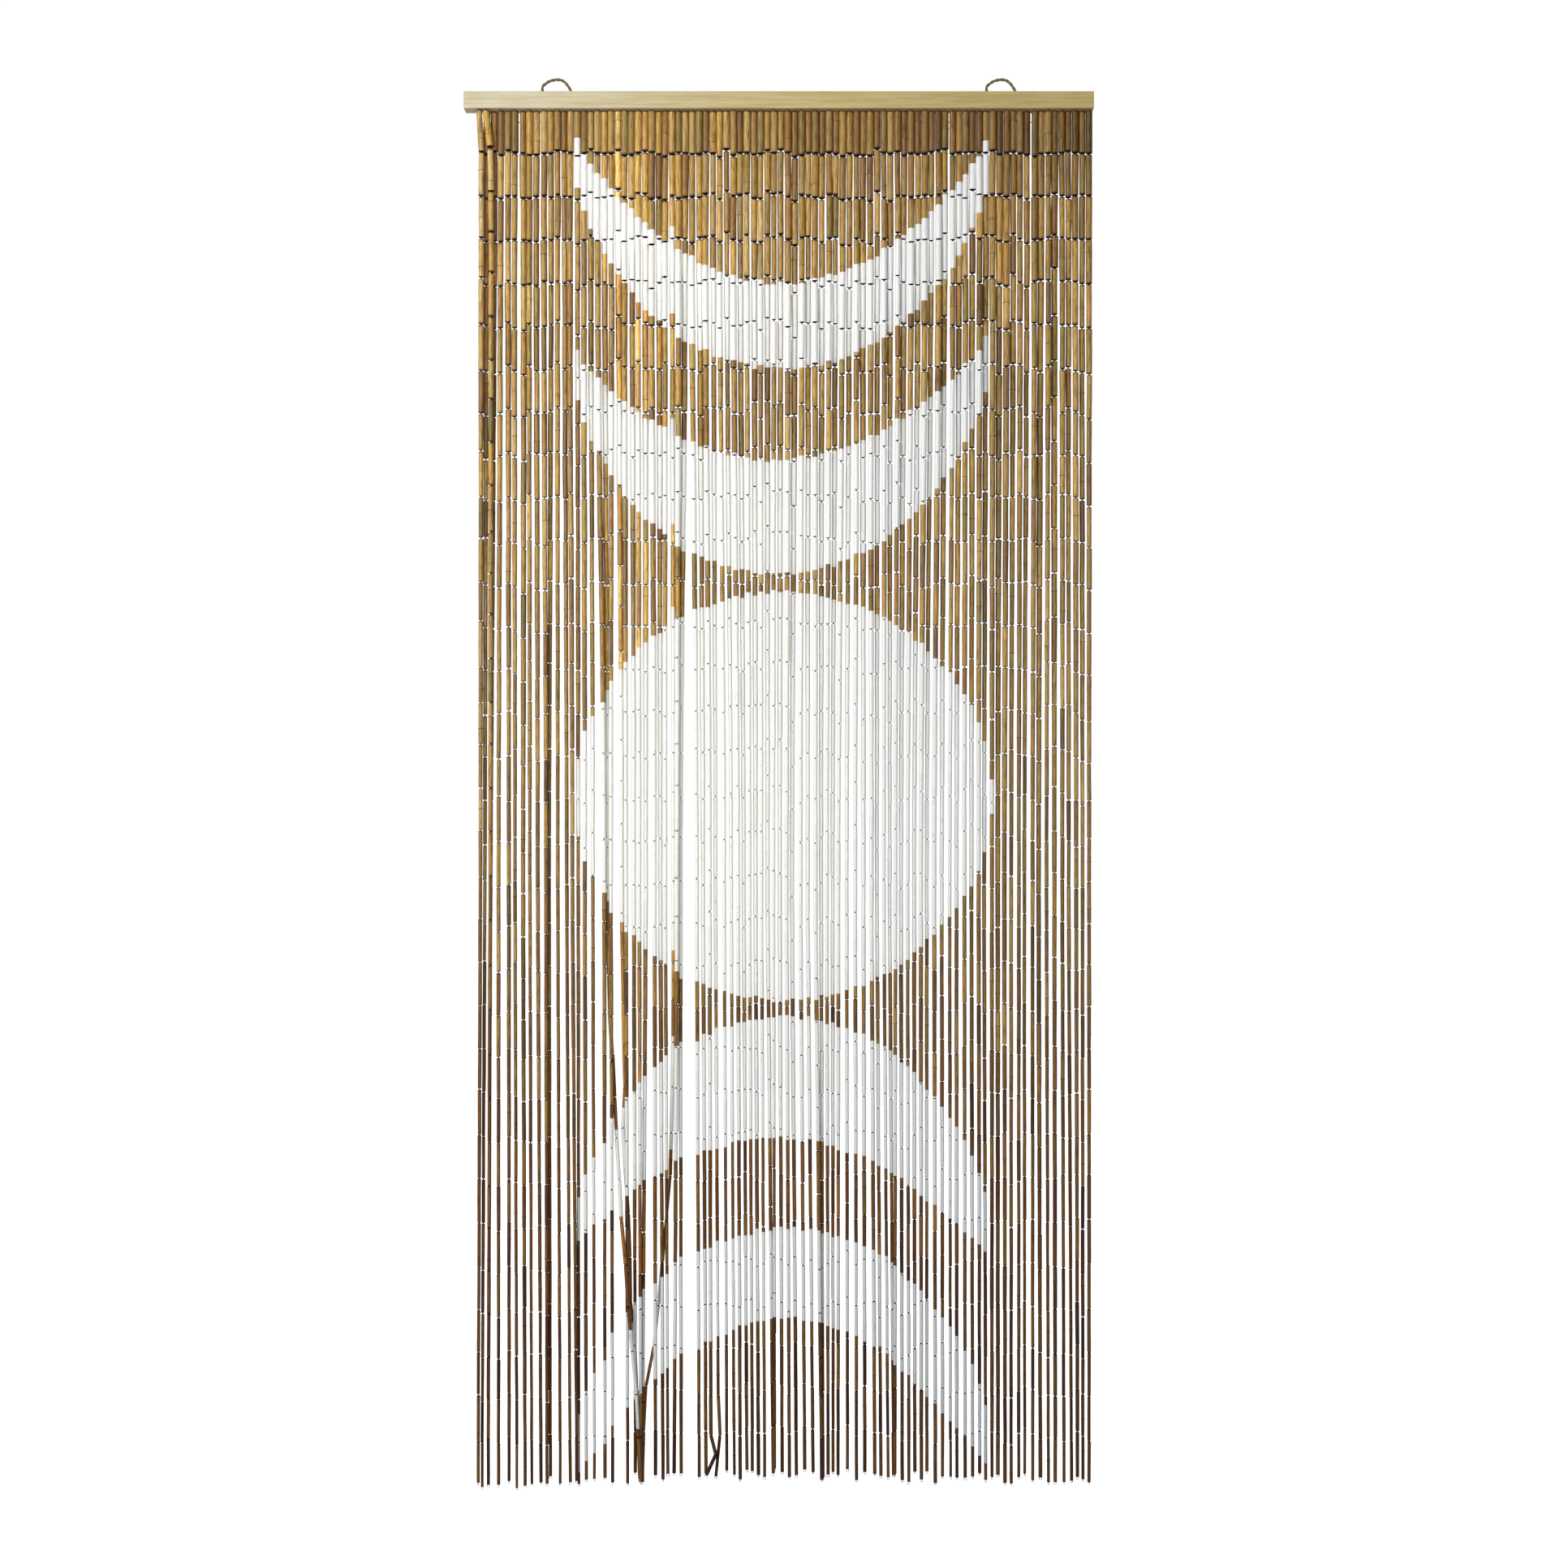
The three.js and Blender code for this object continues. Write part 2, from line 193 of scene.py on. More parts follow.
# Strands that cross, lean on others or kink: drops, sideways distances and layers. A layer
# below 0 is in front of the row's middle, and above 0 behind it.
LEANING = {
    0: ([0, 55, MID_DROP, LOW_DROP], [-1.5, 1.9, 0, -3], [-1, -1, -1, -1]),
    1: ([0, 62, MID_DROP, LOW_DROP], [-1.5, -2, -4.5, -8], [1, 1, 1, 1]),
    2: ([0, 200, MID_DROP, LOW_DROP], [-0.7, -0.6, -6, -9], [1, 1, 1, 1]),
    EXTRA_STRAND: (
        [0, 55, 180, MID_DROP, LOW_DROP],
        [0, 6.8, 8.2, 6.4, 3.5],
        [-1, -1, -1, -1, -1],
    ),
    18: (
        [MID_DROP, 1295, 1353, 1435, 1505, 1586, 1634, 1719, 1842, 1961],
        [5.3, 8.3, 12.1, 16.4, 20.2, 26, 30.8, 36.5, 47.8, 53],
        [1, 1, 1, 1, 1, -3, -3, -3, -3, -3],
    ),
    20: (
        [MID_DROP, 1295, 1400, 1481, 1545, 1656, 1719, 1742, 1780, 1842, 1960],
        [6.2, 8.5, 10.8, 6.2, 13.6, 17.5, 18.4, 21.1, 25, 27.5, 31],
        [1, 1, 1, 3, 3, 3, 3, 3, 3, 3, 3],
    ),
    28: (
        [MID_DROP, 1330, 1470, 1528, 1574, 1638, 1769, 1836, 1906, 1960],
        [2, 1.4, -1.3, -3, -7.1, -12.9, -25.7, -39, -41.4, -42.5],
        [1, 1, 2, 3, 3, 3, 3, 3, 3, 3],
    ),
    33: ([MID_DROP, 1897, 1925, 1954], [5, 6.7, 13.7, 0.9], [-1, -1, -1, -1]),
    34: ([MID_DROP, 1842, 1900, 1958], [3.4, 7.4, 9.8, 4], [1, 1, 1, 1]),
}

# The strands whose last beads break at the drops of their own list
KINKED = {strand: LEANING[strand][0][1:] for strand in (33, 34)}

# Bead lengths
BEAD_PITCH = 61.4
BEAD_UNEVEN = 0.04
BEAD_TOP_DROP = 1.6
SHORT_BEAD_SHARE = 0.04
SHORT_BEAD_CUT = 9
FIRST_BEAD_CUTS = {EXTRA_STRAND: 8.5}

# Joints. A gap has a least width and a random part, which is the smaller on average the
# higher its power is. A pair of values is for the upper and the lower one of the drops.
JOINT_GAP_DROPS = [350, 1000]
JOINT_GAPS = [1.9, 1.15]
JOINT_GAP_SPREAD = 1.5
JOINT_GAP_POWERS = [2, 4]
JOINT_SHIFT_DROPS = [200, 900]
JOINT_SHIFTS = [0.4, 0.22]

# Bead shapes. WIDTH_SIDES holds the factors of the width at the left and the right edge.
BEAD_SIDES = 10
BEAD_BORE = 0.66
BEAD_BEVEL = 0.3
BEAD_OVAL = 0.012
OVAL_TURN = 6.3
BEAD_BOWS = [0.3, 0.1]
BEAD_TAPER = 0.015
SHARP_ANGLE = 38
STRAND_WIDTH_UNEVEN = 0.06
BEAD_WIDTH_UNEVEN = [0.065, 0.04]
UNEVEN_LIMIT = 2
WIDTH_SIDES = [1.0, 1.06]
STRANDS_PER_PIECE = 4

# Bamboo nodes on some beads: where along a bead they lie, half of their length, the part of
# it that their crest takes up, how far they stand out and how much less below the crest
NODE_SHARE = 0.14
NODED_FIRST_BEADS = 4
NODE_PARTS = (0.22, 0.78)
NODE_HALF = 1.6
NODE_CREST = 0.3
NODE_BULGE = 0.3
NODE_LOWER_BULGE = 0.7

# The rings of a bead from its top to its end: bore, edge, bevel, four for the node, bevel,
# edge and bore. How much each belongs to the cut end is told to the material.
BORE_RINGS = [0, 9]
EDGE_RINGS = [1, 8]
BEVEL_RINGS = [2, 7]
CREST_RINGS = [4, 5]
CUT_AT_BORE = 1
CUT_AT_EDGE = 0.8
CUT_AT_BEVEL = 0.3

# Heights that no bead has: one in metres for beads without a node, and one in millimetres
# for beads without paint
NO_NODE = 1.0
NO_PAINT = -9000.0

# White paint. The shapes lie about one middle line, and a distance from it is given as a
# part of the reach. Each shape has an upper and a lower edge: the drop at the middle, how
# far it has moved at full reach, whether it is a bowl or a round arc, and its tilt.
PAINT_MIDDLE = 4.5
PAINT_REACH = 304.8
PAINT_LIMIT = 298
PAINT_TIP = 291
TIP_RISE = 12
PAINT_UNEVEN = 3.2
CRESCENT_ROUND = 314
ARCH_ROUND = 307
PAINTED = [
    ((248.5, -210, "bowl", 0), (370.6, -394, CRESCENT_ROUND, 0)),
    ((500.9, -167, "bowl", -11), (664.9, -392, CRESCENT_ROUND, -9)),
    ((1297.7, 363, ARCH_ROUND, 0), (1471, 168, "bowl", 10)),
    ((1601.3, 366, ARCH_ROUND, -5), (1729.2, 232.6, "bowl", -3)),
]
MOON_MIDDLE = 6.5
MOON_DROP = 981.9
MOON_HALF_WIDTH = 302
MOON_HALF_HEIGHT = 292.5

# Leaning strands whose paint sits higher than on a straight one: drops, and how much higher
PAINT_LIFTED = {
    18: ([1600, 1740, 1850], [0, 24, 12]),
    28: ([0], [24]),
}

# Wire links: a wire through each bead with an eye at both ends, hooked into the next eye.
# A larger eye of uneven size hangs open under each strand, and a smaller one holds its top.
WIRE_RADIUS = 0.42
EYE_RADIUS = 1.05
EYE_STEPS = 7
EYE_SIDES = 3
EYE_SKEW = 0.5
ROOT_EYE_RADIUS = 1.3
ROOT_EYE_STEPS = 2 * EYE_STEPS
ROOT_EYE_LOWERED = 0.5 * ROOT_EYE_RADIUS
END_EYE_RADIUS = 2.0
END_EYE_SIZES = (0.75, 1.15)
END_EYE_STEPS = 14
END_EYE_SIDES = 4
END_EYE_LOWERED = 0.85 * END_EYE_RADIUS
END_EYE_TURN = 1.2
STRANDS_PER_LINK_PIECE = 31

# Bamboo colours and how common each is, for the upper beads and for the browner lower ones
UPPER_TINTS = [
    (srgb(210, 170, 84), 0.24),
    (srgb(201, 164, 93), 0.28),
    (srgb(219, 188, 114), 0.12),
    (srgb(168, 144, 74), 0.14),
    (srgb(174, 130, 68), 0.14),
    (srgb(148, 107, 60), 0.08),
]
LOWER_TINTS = [
    (srgb(148, 99, 46), 0.28),
    (srgb(128, 81, 38), 0.28),
    (srgb(104, 60, 35), 0.2),
    (srgb(156, 115, 52), 0.12),
    (srgb(72, 39, 27), 0.12),
]
TINT_TO_MEAN = 0.25
BROWNING_DROPS = [850, 1650]
BROWNING_UNEVEN = 0.25
# Levels of the bead colours by drop. The low first level is painted shade under the batten; further
# down, the beads' own colour darkens.
TINT_DROPS = [0, 60, 220, 400, 800, 1150, 1600, 1750, 1900]
TINT_LEVELS_WITH_BATTEN_SHADE = [0.7, 0.94, 0.97, 0.9, 0.84, 0.72, 0.78, 0.63, 0.51]
TINT_UNEVEN = 0.17

# Painted shade where less light falls, to the right and under the batten: how much red, green and
# blue the beads lose at the right edge, at these drops
BEAD_RIGHT_SHADE_DROPS = [0, 260, 1000]
BEAD_RIGHT_SHADE = [[0.62, 0.04, 0.12], [0.69, 0.04, 0.12], [0.82, 0.1, 0.14]]

# Strands that lean or lie close together in their neighbours' shadow, whose beads are painted paler
# to lift that shade
SHADE_LIFTED_STRANDS = {18: 1.6, 20: 1.9, 23: 1.8, 24: 1.8, 28: 1.6}

# Beads whose width and colour stand out at the left edge: strand and row, from the top
SINGLE_OUT = {
    (0, 0): (8.3, srgb(206, 172, 112)),
    (0, 1): (8.0, srgb(216, 190, 130)),
    (0, 2): (8.0, srgb(216, 190, 130)),
    (0, 3): (8.0, srgb(214, 180, 110)),
    (0, 4): (7.9, srgb(210, 176, 106)),
    (0, 5): (7.8, srgb(206, 168, 98)),
    (EXTRA_STRAND, 0): (9.6, srgb(214, 174, 84)),
    (EXTRA_STRAND, 1): (8.6, srgb(224, 196, 134)),
    (EXTRA_STRAND, 2): (8.4, srgb(208, 172, 96)),
    (EXTRA_STRAND, 3): (8.2, srgb(206, 164, 94)),
    (EXTRA_STRAND, 4): (8.0, srgb(208, 168, 98)),
    # Strands 1 and 2 hang behind in the front strands' shadow; their colours are painted paler to
    # lift that shade.
    (1, 0): (10.2, srgb(184, 142, 86)),
    (1, 1): (8.4, srgb(192, 150, 92)),
    (1, 2): (8.4, srgb(188, 146, 88)),
    (1, 3): (8.2, srgb(184, 142, 84)),
    (2, 0): (10.4, srgb(176, 136, 80)),
    (2, 1): (8.4, srgb(180, 140, 84)),
    (2, 2): (8.2, srgb(174, 134, 80)),
}


# Node helpers

def new_material(name):
    material = bpy.data.materials.new(name)
    material.use_nodes = True
    tree = material.node_tree
    return material, tree, tree.nodes["Principled BSDF"]


def connect(tree, value, socket):
    """Links another node's output to the socket, or sets the socket's own value."""
    if isinstance(value, bpy.types.NodeSocket):
        tree.links.new(value, socket)
    else:
        socket.default_value = value


def add_node(tree, kind, inputs=None, **settings):
    node = tree.nodes.new("ShaderNode" + kind)
    for name, value in settings.items():
        setattr(node, name, value)
    for name, value in (inputs or {}).items():
        connect(tree, value, node.inputs[name])
    return node


def maths(tree, operation, a, b=0.0):
    return add_node(tree, "Math", {0: a, 1: b}, operation=operation).outputs[0]


def split(tree, vector):
    """The x, y and z of a vector."""
    return add_node(tree, "SeparateXYZ", {"Vector": vector}).outputs[:3]


def blend(tree, factor, a, b, mode="MIX"):
    node = add_node(tree, "Mix", data_type="RGBA", blend_type=mode)
    connect(tree, factor, node.inputs[0])
    connect(tree, a, node.inputs[6])
    connect(tree, b, node.inputs[7])
    return node.outputs[2]


def shaded(tree, colour, factors):
    """The colour with its red, green and blue multiplied by those of another one."""
    return blend(tree, 1.0, colour, factors, "MULTIPLY")


def laid_over(tree, base, colour, mask, strength):
    """The base with the colour over it where the mask is 1, as strongly as this."""
    return blend(tree, maths(tree, "MULTIPLY", mask, strength), base, colour)


def ramp(tree, value, ends, levels=(0.0, 1.0)):
    """The first level where the value is at the first end, and straight on to the second."""
    inputs = {"Value": value, "From Min": ends[0], "From Max": ends[1]}
    inputs.update({"To Min": levels[0], "To Max": levels[1]})
    return add_node(tree, "MapRange", inputs).outputs[0]


def step(tree, value, low, high):
    """0 where the value is at low or beyond, 1 at high or beyond, and smooth between."""
    inputs = {"Value": value, "From Min": low, "From Max": high}
    return add_node(tree, "MapRange", inputs, interpolation_type="SMOOTHSTEP").outputs[0]


def object_place(tree):
    return add_node(tree, "TexCoord").outputs["Object"]


def stretched(tree, vector, scale):
    return add_node(tree, "Mapping", {"Vector": vector, "Scale": scale}).outputs[0]


def noise(tree, vector, scale, detail, roughness):
    inputs = {"Vector": vector, "Scale": scale, "Detail": detail, "Roughness": roughness}
    return add_node(tree, "TexNoise", inputs).outputs["Fac"]


def stored(tree, name, output="Vector"):
    """What the corners of a mesh hold under this name."""
    return add_node(tree, "Attribute", attribute_name=name).outputs[output]


def surface(tree, shader, colour, roughness, relief, strength, distance):
    """Gives the shader its colour, its roughness and a relief of this strength and depth."""
    connect(tree, colour, shader.inputs["Base Color"])
    connect(tree, roughness, shader.inputs["Roughness"])
    heights = {"Height": relief, "Strength": strength, "Distance": distance}
    connect(tree, add_node(tree, "Bump", heights).outputs["Normal"], shader.inputs["Normal"])


# Camera, light and floor

def add_camera():
    data = bpy.data.cameras.new("camera")
    data.sensor_width = SENSOR_WIDTH
    data.lens = CAMERA_LENS
    camera = bpy.data.objects.new("camera", data)
    camera.location = CAMERA_PLACE
    camera.rotation_euler = (math.pi / 2, 0, 0)
    scene.collection.objects.link(camera)
    scene.camera = camera


def add_light(name, place, aim, size, power, colour):
    data = bpy.data.lights.new(name, "AREA")
    data.shape = "DISK"
    data.size = size
    data.energy = power
    data.color = colour
    light = bpy.data.objects.new(name, data)
    light.location = place
    light.rotation_euler = (Vector(aim) - Vector(place)).to_track_quat("-Z", "Y").to_euler()
    scene.collection.objects.link(light)


def add_world():
    """A backdrop that is white to the camera and much dimmer as a light."""
    world = bpy.data.worlds.new("studio")
    scene.world = world
    world.use_nodes = True
    tree = world.node_tree
    background = tree.nodes["Background"]
    background.inputs["Color"].default_value = (1, 1, 1, 1)
    seen = add_node(tree, "LightPath").outputs["Is Camera Ray"]
    strength = ramp(tree, seen, (0.0, 1.0), (BACKDROP_LIGHT, BACKDROP_SEEN))
    connect(tree, strength, background.inputs["Strength"])


def add_floor():
    """A plain white floor that lights nothing and shows in no reflection."""
    ways = [(-1, -1), (1, -1), (1, 1), (-1, 1)]
    corners = [(x * FLOOR_HALF, y * FLOOR_HALF, FLOOR_LEVEL) for x, y in ways]
    mesh = bpy.data.meshes.new("floor")
    mesh.from_pydata(corners, [], [(0, 1, 2, 3)])
    floor = bpy.data.objects.new("floor", mesh)
    scene.collection.objects.link(floor)
    material, _, shader = new_material("floor")
    for name, value in FLOOR_LOOK.items():
        shader.inputs[name].default_value = value
    mesh.materials.append(material)
    floor.visible_diffuse = False
    floor.visible_glossy = False


# Bamboo

# A stretch below 1 draws the marks out along a bead. A noise is given as scale, detail and
# roughness, and a mark as the two values between which it grows from nothing to full.
LONG_FIBRES = (1, 1, 0.035)
SHORT_FIBRES = (1, 1, 0.25)
SEED_TO_DEPTH = 3.7
FIBRE_NOISE = (1500, 3, 0.6)
BLOTCH_NOISE = (210, 2, 0.55)
SPECK_NOISE = (1700, 1, 0.5)
FLECK_NOISE = (620, 2, 0.6)

# Skin. A light and a dark fibre are given as factors of the bead's own colour.
PALE_FIBRE = (1.27, 1.22, 1.14, 1)
DARK_FIBRE = (0.22, 0.13, 0.07, 1)
FIBRE_MARK = (0.33, 0.68)
FIBRE_SOFTENED = 0.35
BLOTCH_MARK = (0.52, 0.72)
BLOTCH_STRENGTH = 0.45
BLOTCH_RELIEF = 0.6
SPECK_MARK = (0.64, 0.74)
SPECK_STRENGTH = 0.5
MARK_BROWN = srgb(74, 48, 26)

# Ring at the node, by the distance from it, and the ends, by how much of a cut end they are. Darker
# brown rims at the ends are stronger on the upper beads, between these heights.
NODE_RING = (0.0002, 0.0009)
NODE_RING_STRENGTH = 0.7
RIM_CUT = (0.275, 0.297)
RIM_HEIGHTS = (-0.6, -0.2)
RIM_STRENGTHS = (0.5, 0.9)
RIM_BROWN = srgb(60, 31, 13)
# Painted shade: the cut end faces and the bores are dark brown, where shade falls.
SHADED_CUT = (0.4, 0.8)
CUT_END_SHADE = srgb(32, 15, 7)

# Paint: how rough its edge is, and half of the distance over which it fades there
PAINT_ROUGH = 0.0016
PAINT_FADE = 0.0004
SCRATCH_STRETCH = (1, 1, 0.12)
SCRATCH_NOISE = (640, 1, 0.5)
SCRATCH_MARK = (0.735, 0.76)
CHIP_MARK = (0.72, 0.78)
CHIP_STRENGTH = 0.6
BARE_CUT = (0.32, 0.6)

# Paint colours over a dark and over a light fibre, from cool to warm by the bead's seed. Painted
# shade turns the paint greyer downwards and to the right, where less light falls, between these
# places.
COOL_PAINT = (srgb(241, 242, 237), srgb(253, 253, 249))
WARM_PAINT = (srgb(240, 238, 229), srgb(252, 250, 241))
PAINT_FIBRE_MARK = (0.3, 0.7)
WARM_SEEDS = (0.6, 1.0)
PAINT_LOW_SHADE = srgb(212, 215, 220)
PAINT_LOW_SHADE_HEIGHTS = (-1.15, -1.95)
PAINT_RIGHT_SHADE = srgb(230, 232, 237)
PAINT_RIGHT_SHADE_PLACES = (-0.05, 0.33)


def bamboo_skin(tree, tint_and_shade, fibre, blotch, speck):
    """Light and dark fibres about the bead's colour, which holds its painted shade, with blotches
    and specks.
    """
    dark = shaded(tree, tint_and_shade, DARK_FIBRE)
    pale = shaded(tree, tint_and_shade, PALE_FIBRE)
    skin = blend(tree, step(tree, fibre, *FIBRE_MARK), dark, pale)
    skin = blend(tree, FIBRE_SOFTENED, skin, tint_and_shade)
    skin = laid_over(tree, skin, dark, step(tree, blotch, *BLOTCH_MARK), BLOTCH_STRENGTH)
    return laid_over(tree, skin, MARK_BROWN, step(tree, speck, *SPECK_MARK), SPECK_STRENGTH)


def marked_and_shaded_ends(tree, skin, height, cut, node_height):
    """The skin with a brown ring at the node, darker brown rims, and painted shade on the cut ends
    and in the bores.
    """
    from_node = maths(tree, "ABSOLUTE", maths(tree, "SUBTRACT", height, node_height))
    ring = maths(tree, "SUBTRACT", 1.0, step(tree, from_node, *NODE_RING))
    skin = laid_over(tree, skin, MARK_BROWN, ring, NODE_RING_STRENGTH)
    rim_strength = ramp(tree, height, RIM_HEIGHTS, RIM_STRENGTHS)
    skin = laid_over(tree, skin, RIM_BROWN, step(tree, cut, *RIM_CUT), rim_strength)
    # Painted shade on the cut ends and in the bores.
    return blend(tree, step(tree, cut, *SHADED_CUT), skin, CUT_END_SHADE)


def paint_cover(tree, height, fleck):
    """1 within either of the two painted stretches that a bead can have, with rough edges."""
    rough_height = maths(tree, "ADD", height, maths(tree, "MULTIPLY", fleck, PAINT_ROUGH))
    outside = PAINT_ROUGH / 2 - PAINT_FADE
    inside = PAINT_ROUGH / 2 + PAINT_FADE
    covers = []
    for name in ("paint_upper", "paint_lower"):
        top, bottom, _ = split(tree, stored(tree, name))
        under_top = step(tree, maths(tree, "SUBTRACT", top, rough_height), -inside, -outside)
        over_bottom = step(tree, maths(tree, "SUBTRACT", rough_height, bottom), outside, inside)
        covers.append(maths(tree, "MULTIPLY", under_top, over_bottom))
    return maths(tree, "MAXIMUM", *covers)


def worn_cover(tree, cover, own_place, speck, cut):
    """The cover with chips and scratches, and without the cut ends."""
    scratch_place = stretched(tree, own_place, SCRATCH_STRETCH)
    scratches = step(tree, noise(tree, scratch_place, *SCRATCH_NOISE), *SCRATCH_MARK)
    bare = maths(tree, "MAXIMUM", step(tree, speck, *CHIP_MARK), scratches)
    chipped = maths(tree, "SUBTRACT", 1.0, maths(tree, "MULTIPLY", bare, CHIP_STRENGTH))
    uncut = maths(tree, "SUBTRACT", 1.0, step(tree, cut, *BARE_CUT))
    return maths(tree, "MULTIPLY", maths(tree, "MULTIPLY", cover, chipped), uncut)


def paint_colour(tree, across, height, seed, fibre):
    """White that is warmer on some beads, with painted shade that greys it low down and to the
    right.
    """
    over_light = step(tree, fibre, *PAINT_FIBRE_MARK)
    cool = blend(tree, over_light, *COOL_PAINT)
    warm = blend(tree, over_light, *WARM_PAINT)
    white = blend(tree, step(tree, seed, *WARM_SEEDS), cool, warm)
    low = ramp(tree, height, PAINT_LOW_SHADE_HEIGHTS)
    white = blend(tree, low, white, shaded(tree, white, PAINT_LOW_SHADE))
    right = ramp(tree, across, PAINT_RIGHT_SHADE_PLACES)
    return blend(tree, right, white, shaded(tree, white, PAINT_RIGHT_SHADE))


def bamboo_material():
    """Bamboo skin with darker brown rims and painted shade on the cut ends, and white paint over it.
    Each bead has its own marks.
    """
    material, tree, shader = new_material("bamboo")
    place = object_place(tree)
    across, _, height = split(tree, place)
    seed, cut, node_height = split(tree, stored(tree, "facts"))
    seed_depth = maths(tree, "MULTIPLY", seed, SEED_TO_DEPTH)
    apart = add_node(tree, "CombineXYZ", {"X": seed, "Y": seed_depth}).outputs[0]
    own_place = add_node(tree, "VectorMath", {0: place, 1: apart}, operation="ADD").outputs[0]
    short_fibres = stretched(tree, own_place, SHORT_FIBRES)
    fibre = noise(tree, stretched(tree, own_place, LONG_FIBRES), *FIBRE_NOISE)
    blotch = noise(tree, short_fibres, *BLOTCH_NOISE)
    speck = noise(tree, short_fibres, *SPECK_NOISE)
    fleck = noise(tree, own_place, *FLECK_NOISE)

    skin = bamboo_skin(tree, stored(tree, "tint_and_shade", "Color"), fibre, blotch, speck)
    skin = marked_and_shaded_ends(tree, skin, height, cut, node_height)
    cover = worn_cover(tree, paint_cover(tree, height, fleck), own_place, speck, cut)
    colour = blend(tree, cover, skin, paint_colour(tree, across, height, seed, fibre))
    relief = maths(tree, "ADD", fibre, maths(tree, "MULTIPLY", blotch, BLOTCH_RELIEF))
    surface(tree, shader, colour, roughness=0.38, relief=relief, strength=0.35, distance=0.00025)
    shader.inputs["Specular IOR Level"].default_value = 0.35
    return material


# Pine, with values of the same kinds as the bamboo's. Its grain runs along the batten.

GRAIN_STRETCH = (0.05, 1, 1)
GRAIN_NOISE = (330, 3, 0.6)
GRAIN_MARK = (0.62, 0.95)
GRAIN_SHADE = srgb(236, 230, 214)
WARP_STRETCH = (0.25, 1, 1)
WARP_NOISE = (18, 2, 0.5)
WARP_PART = 0.5
PORE_STRETCH = (0.03, 1, 1)
PORE_NOISE = (1900, 2, 0.6)
PORE_MARK = (0.6, 0.72)
PORE_STRENGTH = 0.35
PORE_BROWN = srgb(150, 130, 84)

# The batten's colour changes from left to right between these places, partly in the wood's own tone
# and partly as painted shade where less light falls to the right. Its underside is painted paler, as
# if lit by bounce light, where its normal points down by as much as this.
PINE_LEFT = srgb(204, 196, 168)
PINE_MIDDLE = srgb(195, 179, 126)
PINE_RIGHT = srgb(182, 165, 109)
LEFT_TO_MIDDLE = (-0.46, 0.1)
MIDDLE_TO_RIGHT = (-0.05, 0.46)
UNDERSIDE_NORMALS = (-0.5, -0.9)
UNDERSIDE_PAINTED_BOUNCE = (1.5, 1.42, 1.34, 1)


def pine_material():
    """Pale sawn softwood with fine pores, cream at the left end and darker to the right, partly by
    painted shade, with painted bounce light on its underside.
    """
    material, tree, shader = new_material("pine")
    place = object_place(tree)
    along = split(tree, place)[0]
    grain = noise(tree, stretched(tree, place, GRAIN_STRETCH), *GRAIN_NOISE)
    warp = noise(tree, stretched(tree, place, WARP_STRETCH), *WARP_NOISE)
    rings = maths(tree, "ADD", grain, maths(tree, "MULTIPLY", warp, WARP_PART))
    pores = noise(tree, stretched(tree, place, PORE_STRETCH), *PORE_NOISE)
    # The darkening to the right is partly painted shade.
    wood = blend(tree, step(tree, along, *LEFT_TO_MIDDLE), PINE_LEFT, PINE_MIDDLE)
    wood = blend(tree, step(tree, along, *MIDDLE_TO_RIGHT), wood, PINE_RIGHT)
    wood = blend(tree, step(tree, rings, *GRAIN_MARK), wood, shaded(tree, wood, GRAIN_SHADE))
    # Painted light: faces that point down are paler, as if lit from below by bounce light.
    upward = split(tree, add_node(tree, "NewGeometry").outputs["True Normal"])[2]
    facing_down = step(tree, upward, *UNDERSIDE_NORMALS)
    wood = blend(tree, facing_down, wood, shaded(tree, wood, UNDERSIDE_PAINTED_BOUNCE))
    wood = laid_over(tree, wood, PORE_BROWN, step(tree, pores, *PORE_MARK), PORE_STRENGTH)
    relief = maths(tree, "ADD", rings, pores)
    surface(tree, shader, wood, roughness=0.68, relief=relief, strength=0.25, distance=0.0003)
    return material


# Jute and wire, with values of the same kinds

JUTE_PATCH_NOISE = (260, 2, 0.5)
JUTE_PATCH_MARK = (0.4, 0.62)
JUTE_BROWN = srgb(132, 111, 71)
JUTE_OLIVE = srgb(144, 129, 84)
HAIR_STRETCH = (1, 1, 0.4)
HAIR_NOISE = (2600, 3, 0.65)
HAIR_MARK = (0.35, 0.65)
HAIR_GROOVE_SHADE = srgb(88, 72, 44)

WIRE_STRETCH = (1, 1, 0.3)
WIRE_PATCH_NOISE = (420, 2, 0.5)
WIRE_PATCH_MARK = (0.35, 0.65)
WIRE_DARK = srgb(26, 22, 18)
WIRE_LIGHT = srgb(50, 43, 36)


def jute_material():
    """Bast fibre in brown and olive patches, with painted shade in the grooves between its hairs."""
    material, tree, shader = new_material("jute")
    place = object_place(tree)
    patches = noise(tree, place, *JUTE_PATCH_NOISE)
    hairs = noise(tree, stretched(tree, place, HAIR_STRETCH), *HAIR_NOISE)
    base = blend(tree, step(tree, patches, *JUTE_PATCH_MARK), JUTE_BROWN, JUTE_OLIVE)
    # Painted shade: the low grooves of the hair relief are dark brown.
    rope = blend(tree, step(tree, hairs, *HAIR_MARK), HAIR_GROOVE_SHADE, base)
    surface(tree, shader, rope, roughness=0.92, relief=hairs, strength=0.6, distance=0.0003)
    return material


def wire_material():
    """Dark brown-grey wire, dull, with lighter patches."""
    material, tree, shader = new_material("wire")
    patches = noise(tree, stretched(tree, object_place(tree), WIRE_STRETCH), *WIRE_PATCH_NOISE)
    colour = blend(tree, step(tree, patches, *WIRE_PATCH_MARK), WIRE_DARK, WIRE_LIGHT)
    surface(tree, shader, colour, roughness=0.42, relief=patches, strength=0.3, distance=0.0001)
    shader.inputs["Metallic"].default_value = 0.9
    return material


# How the strands hang

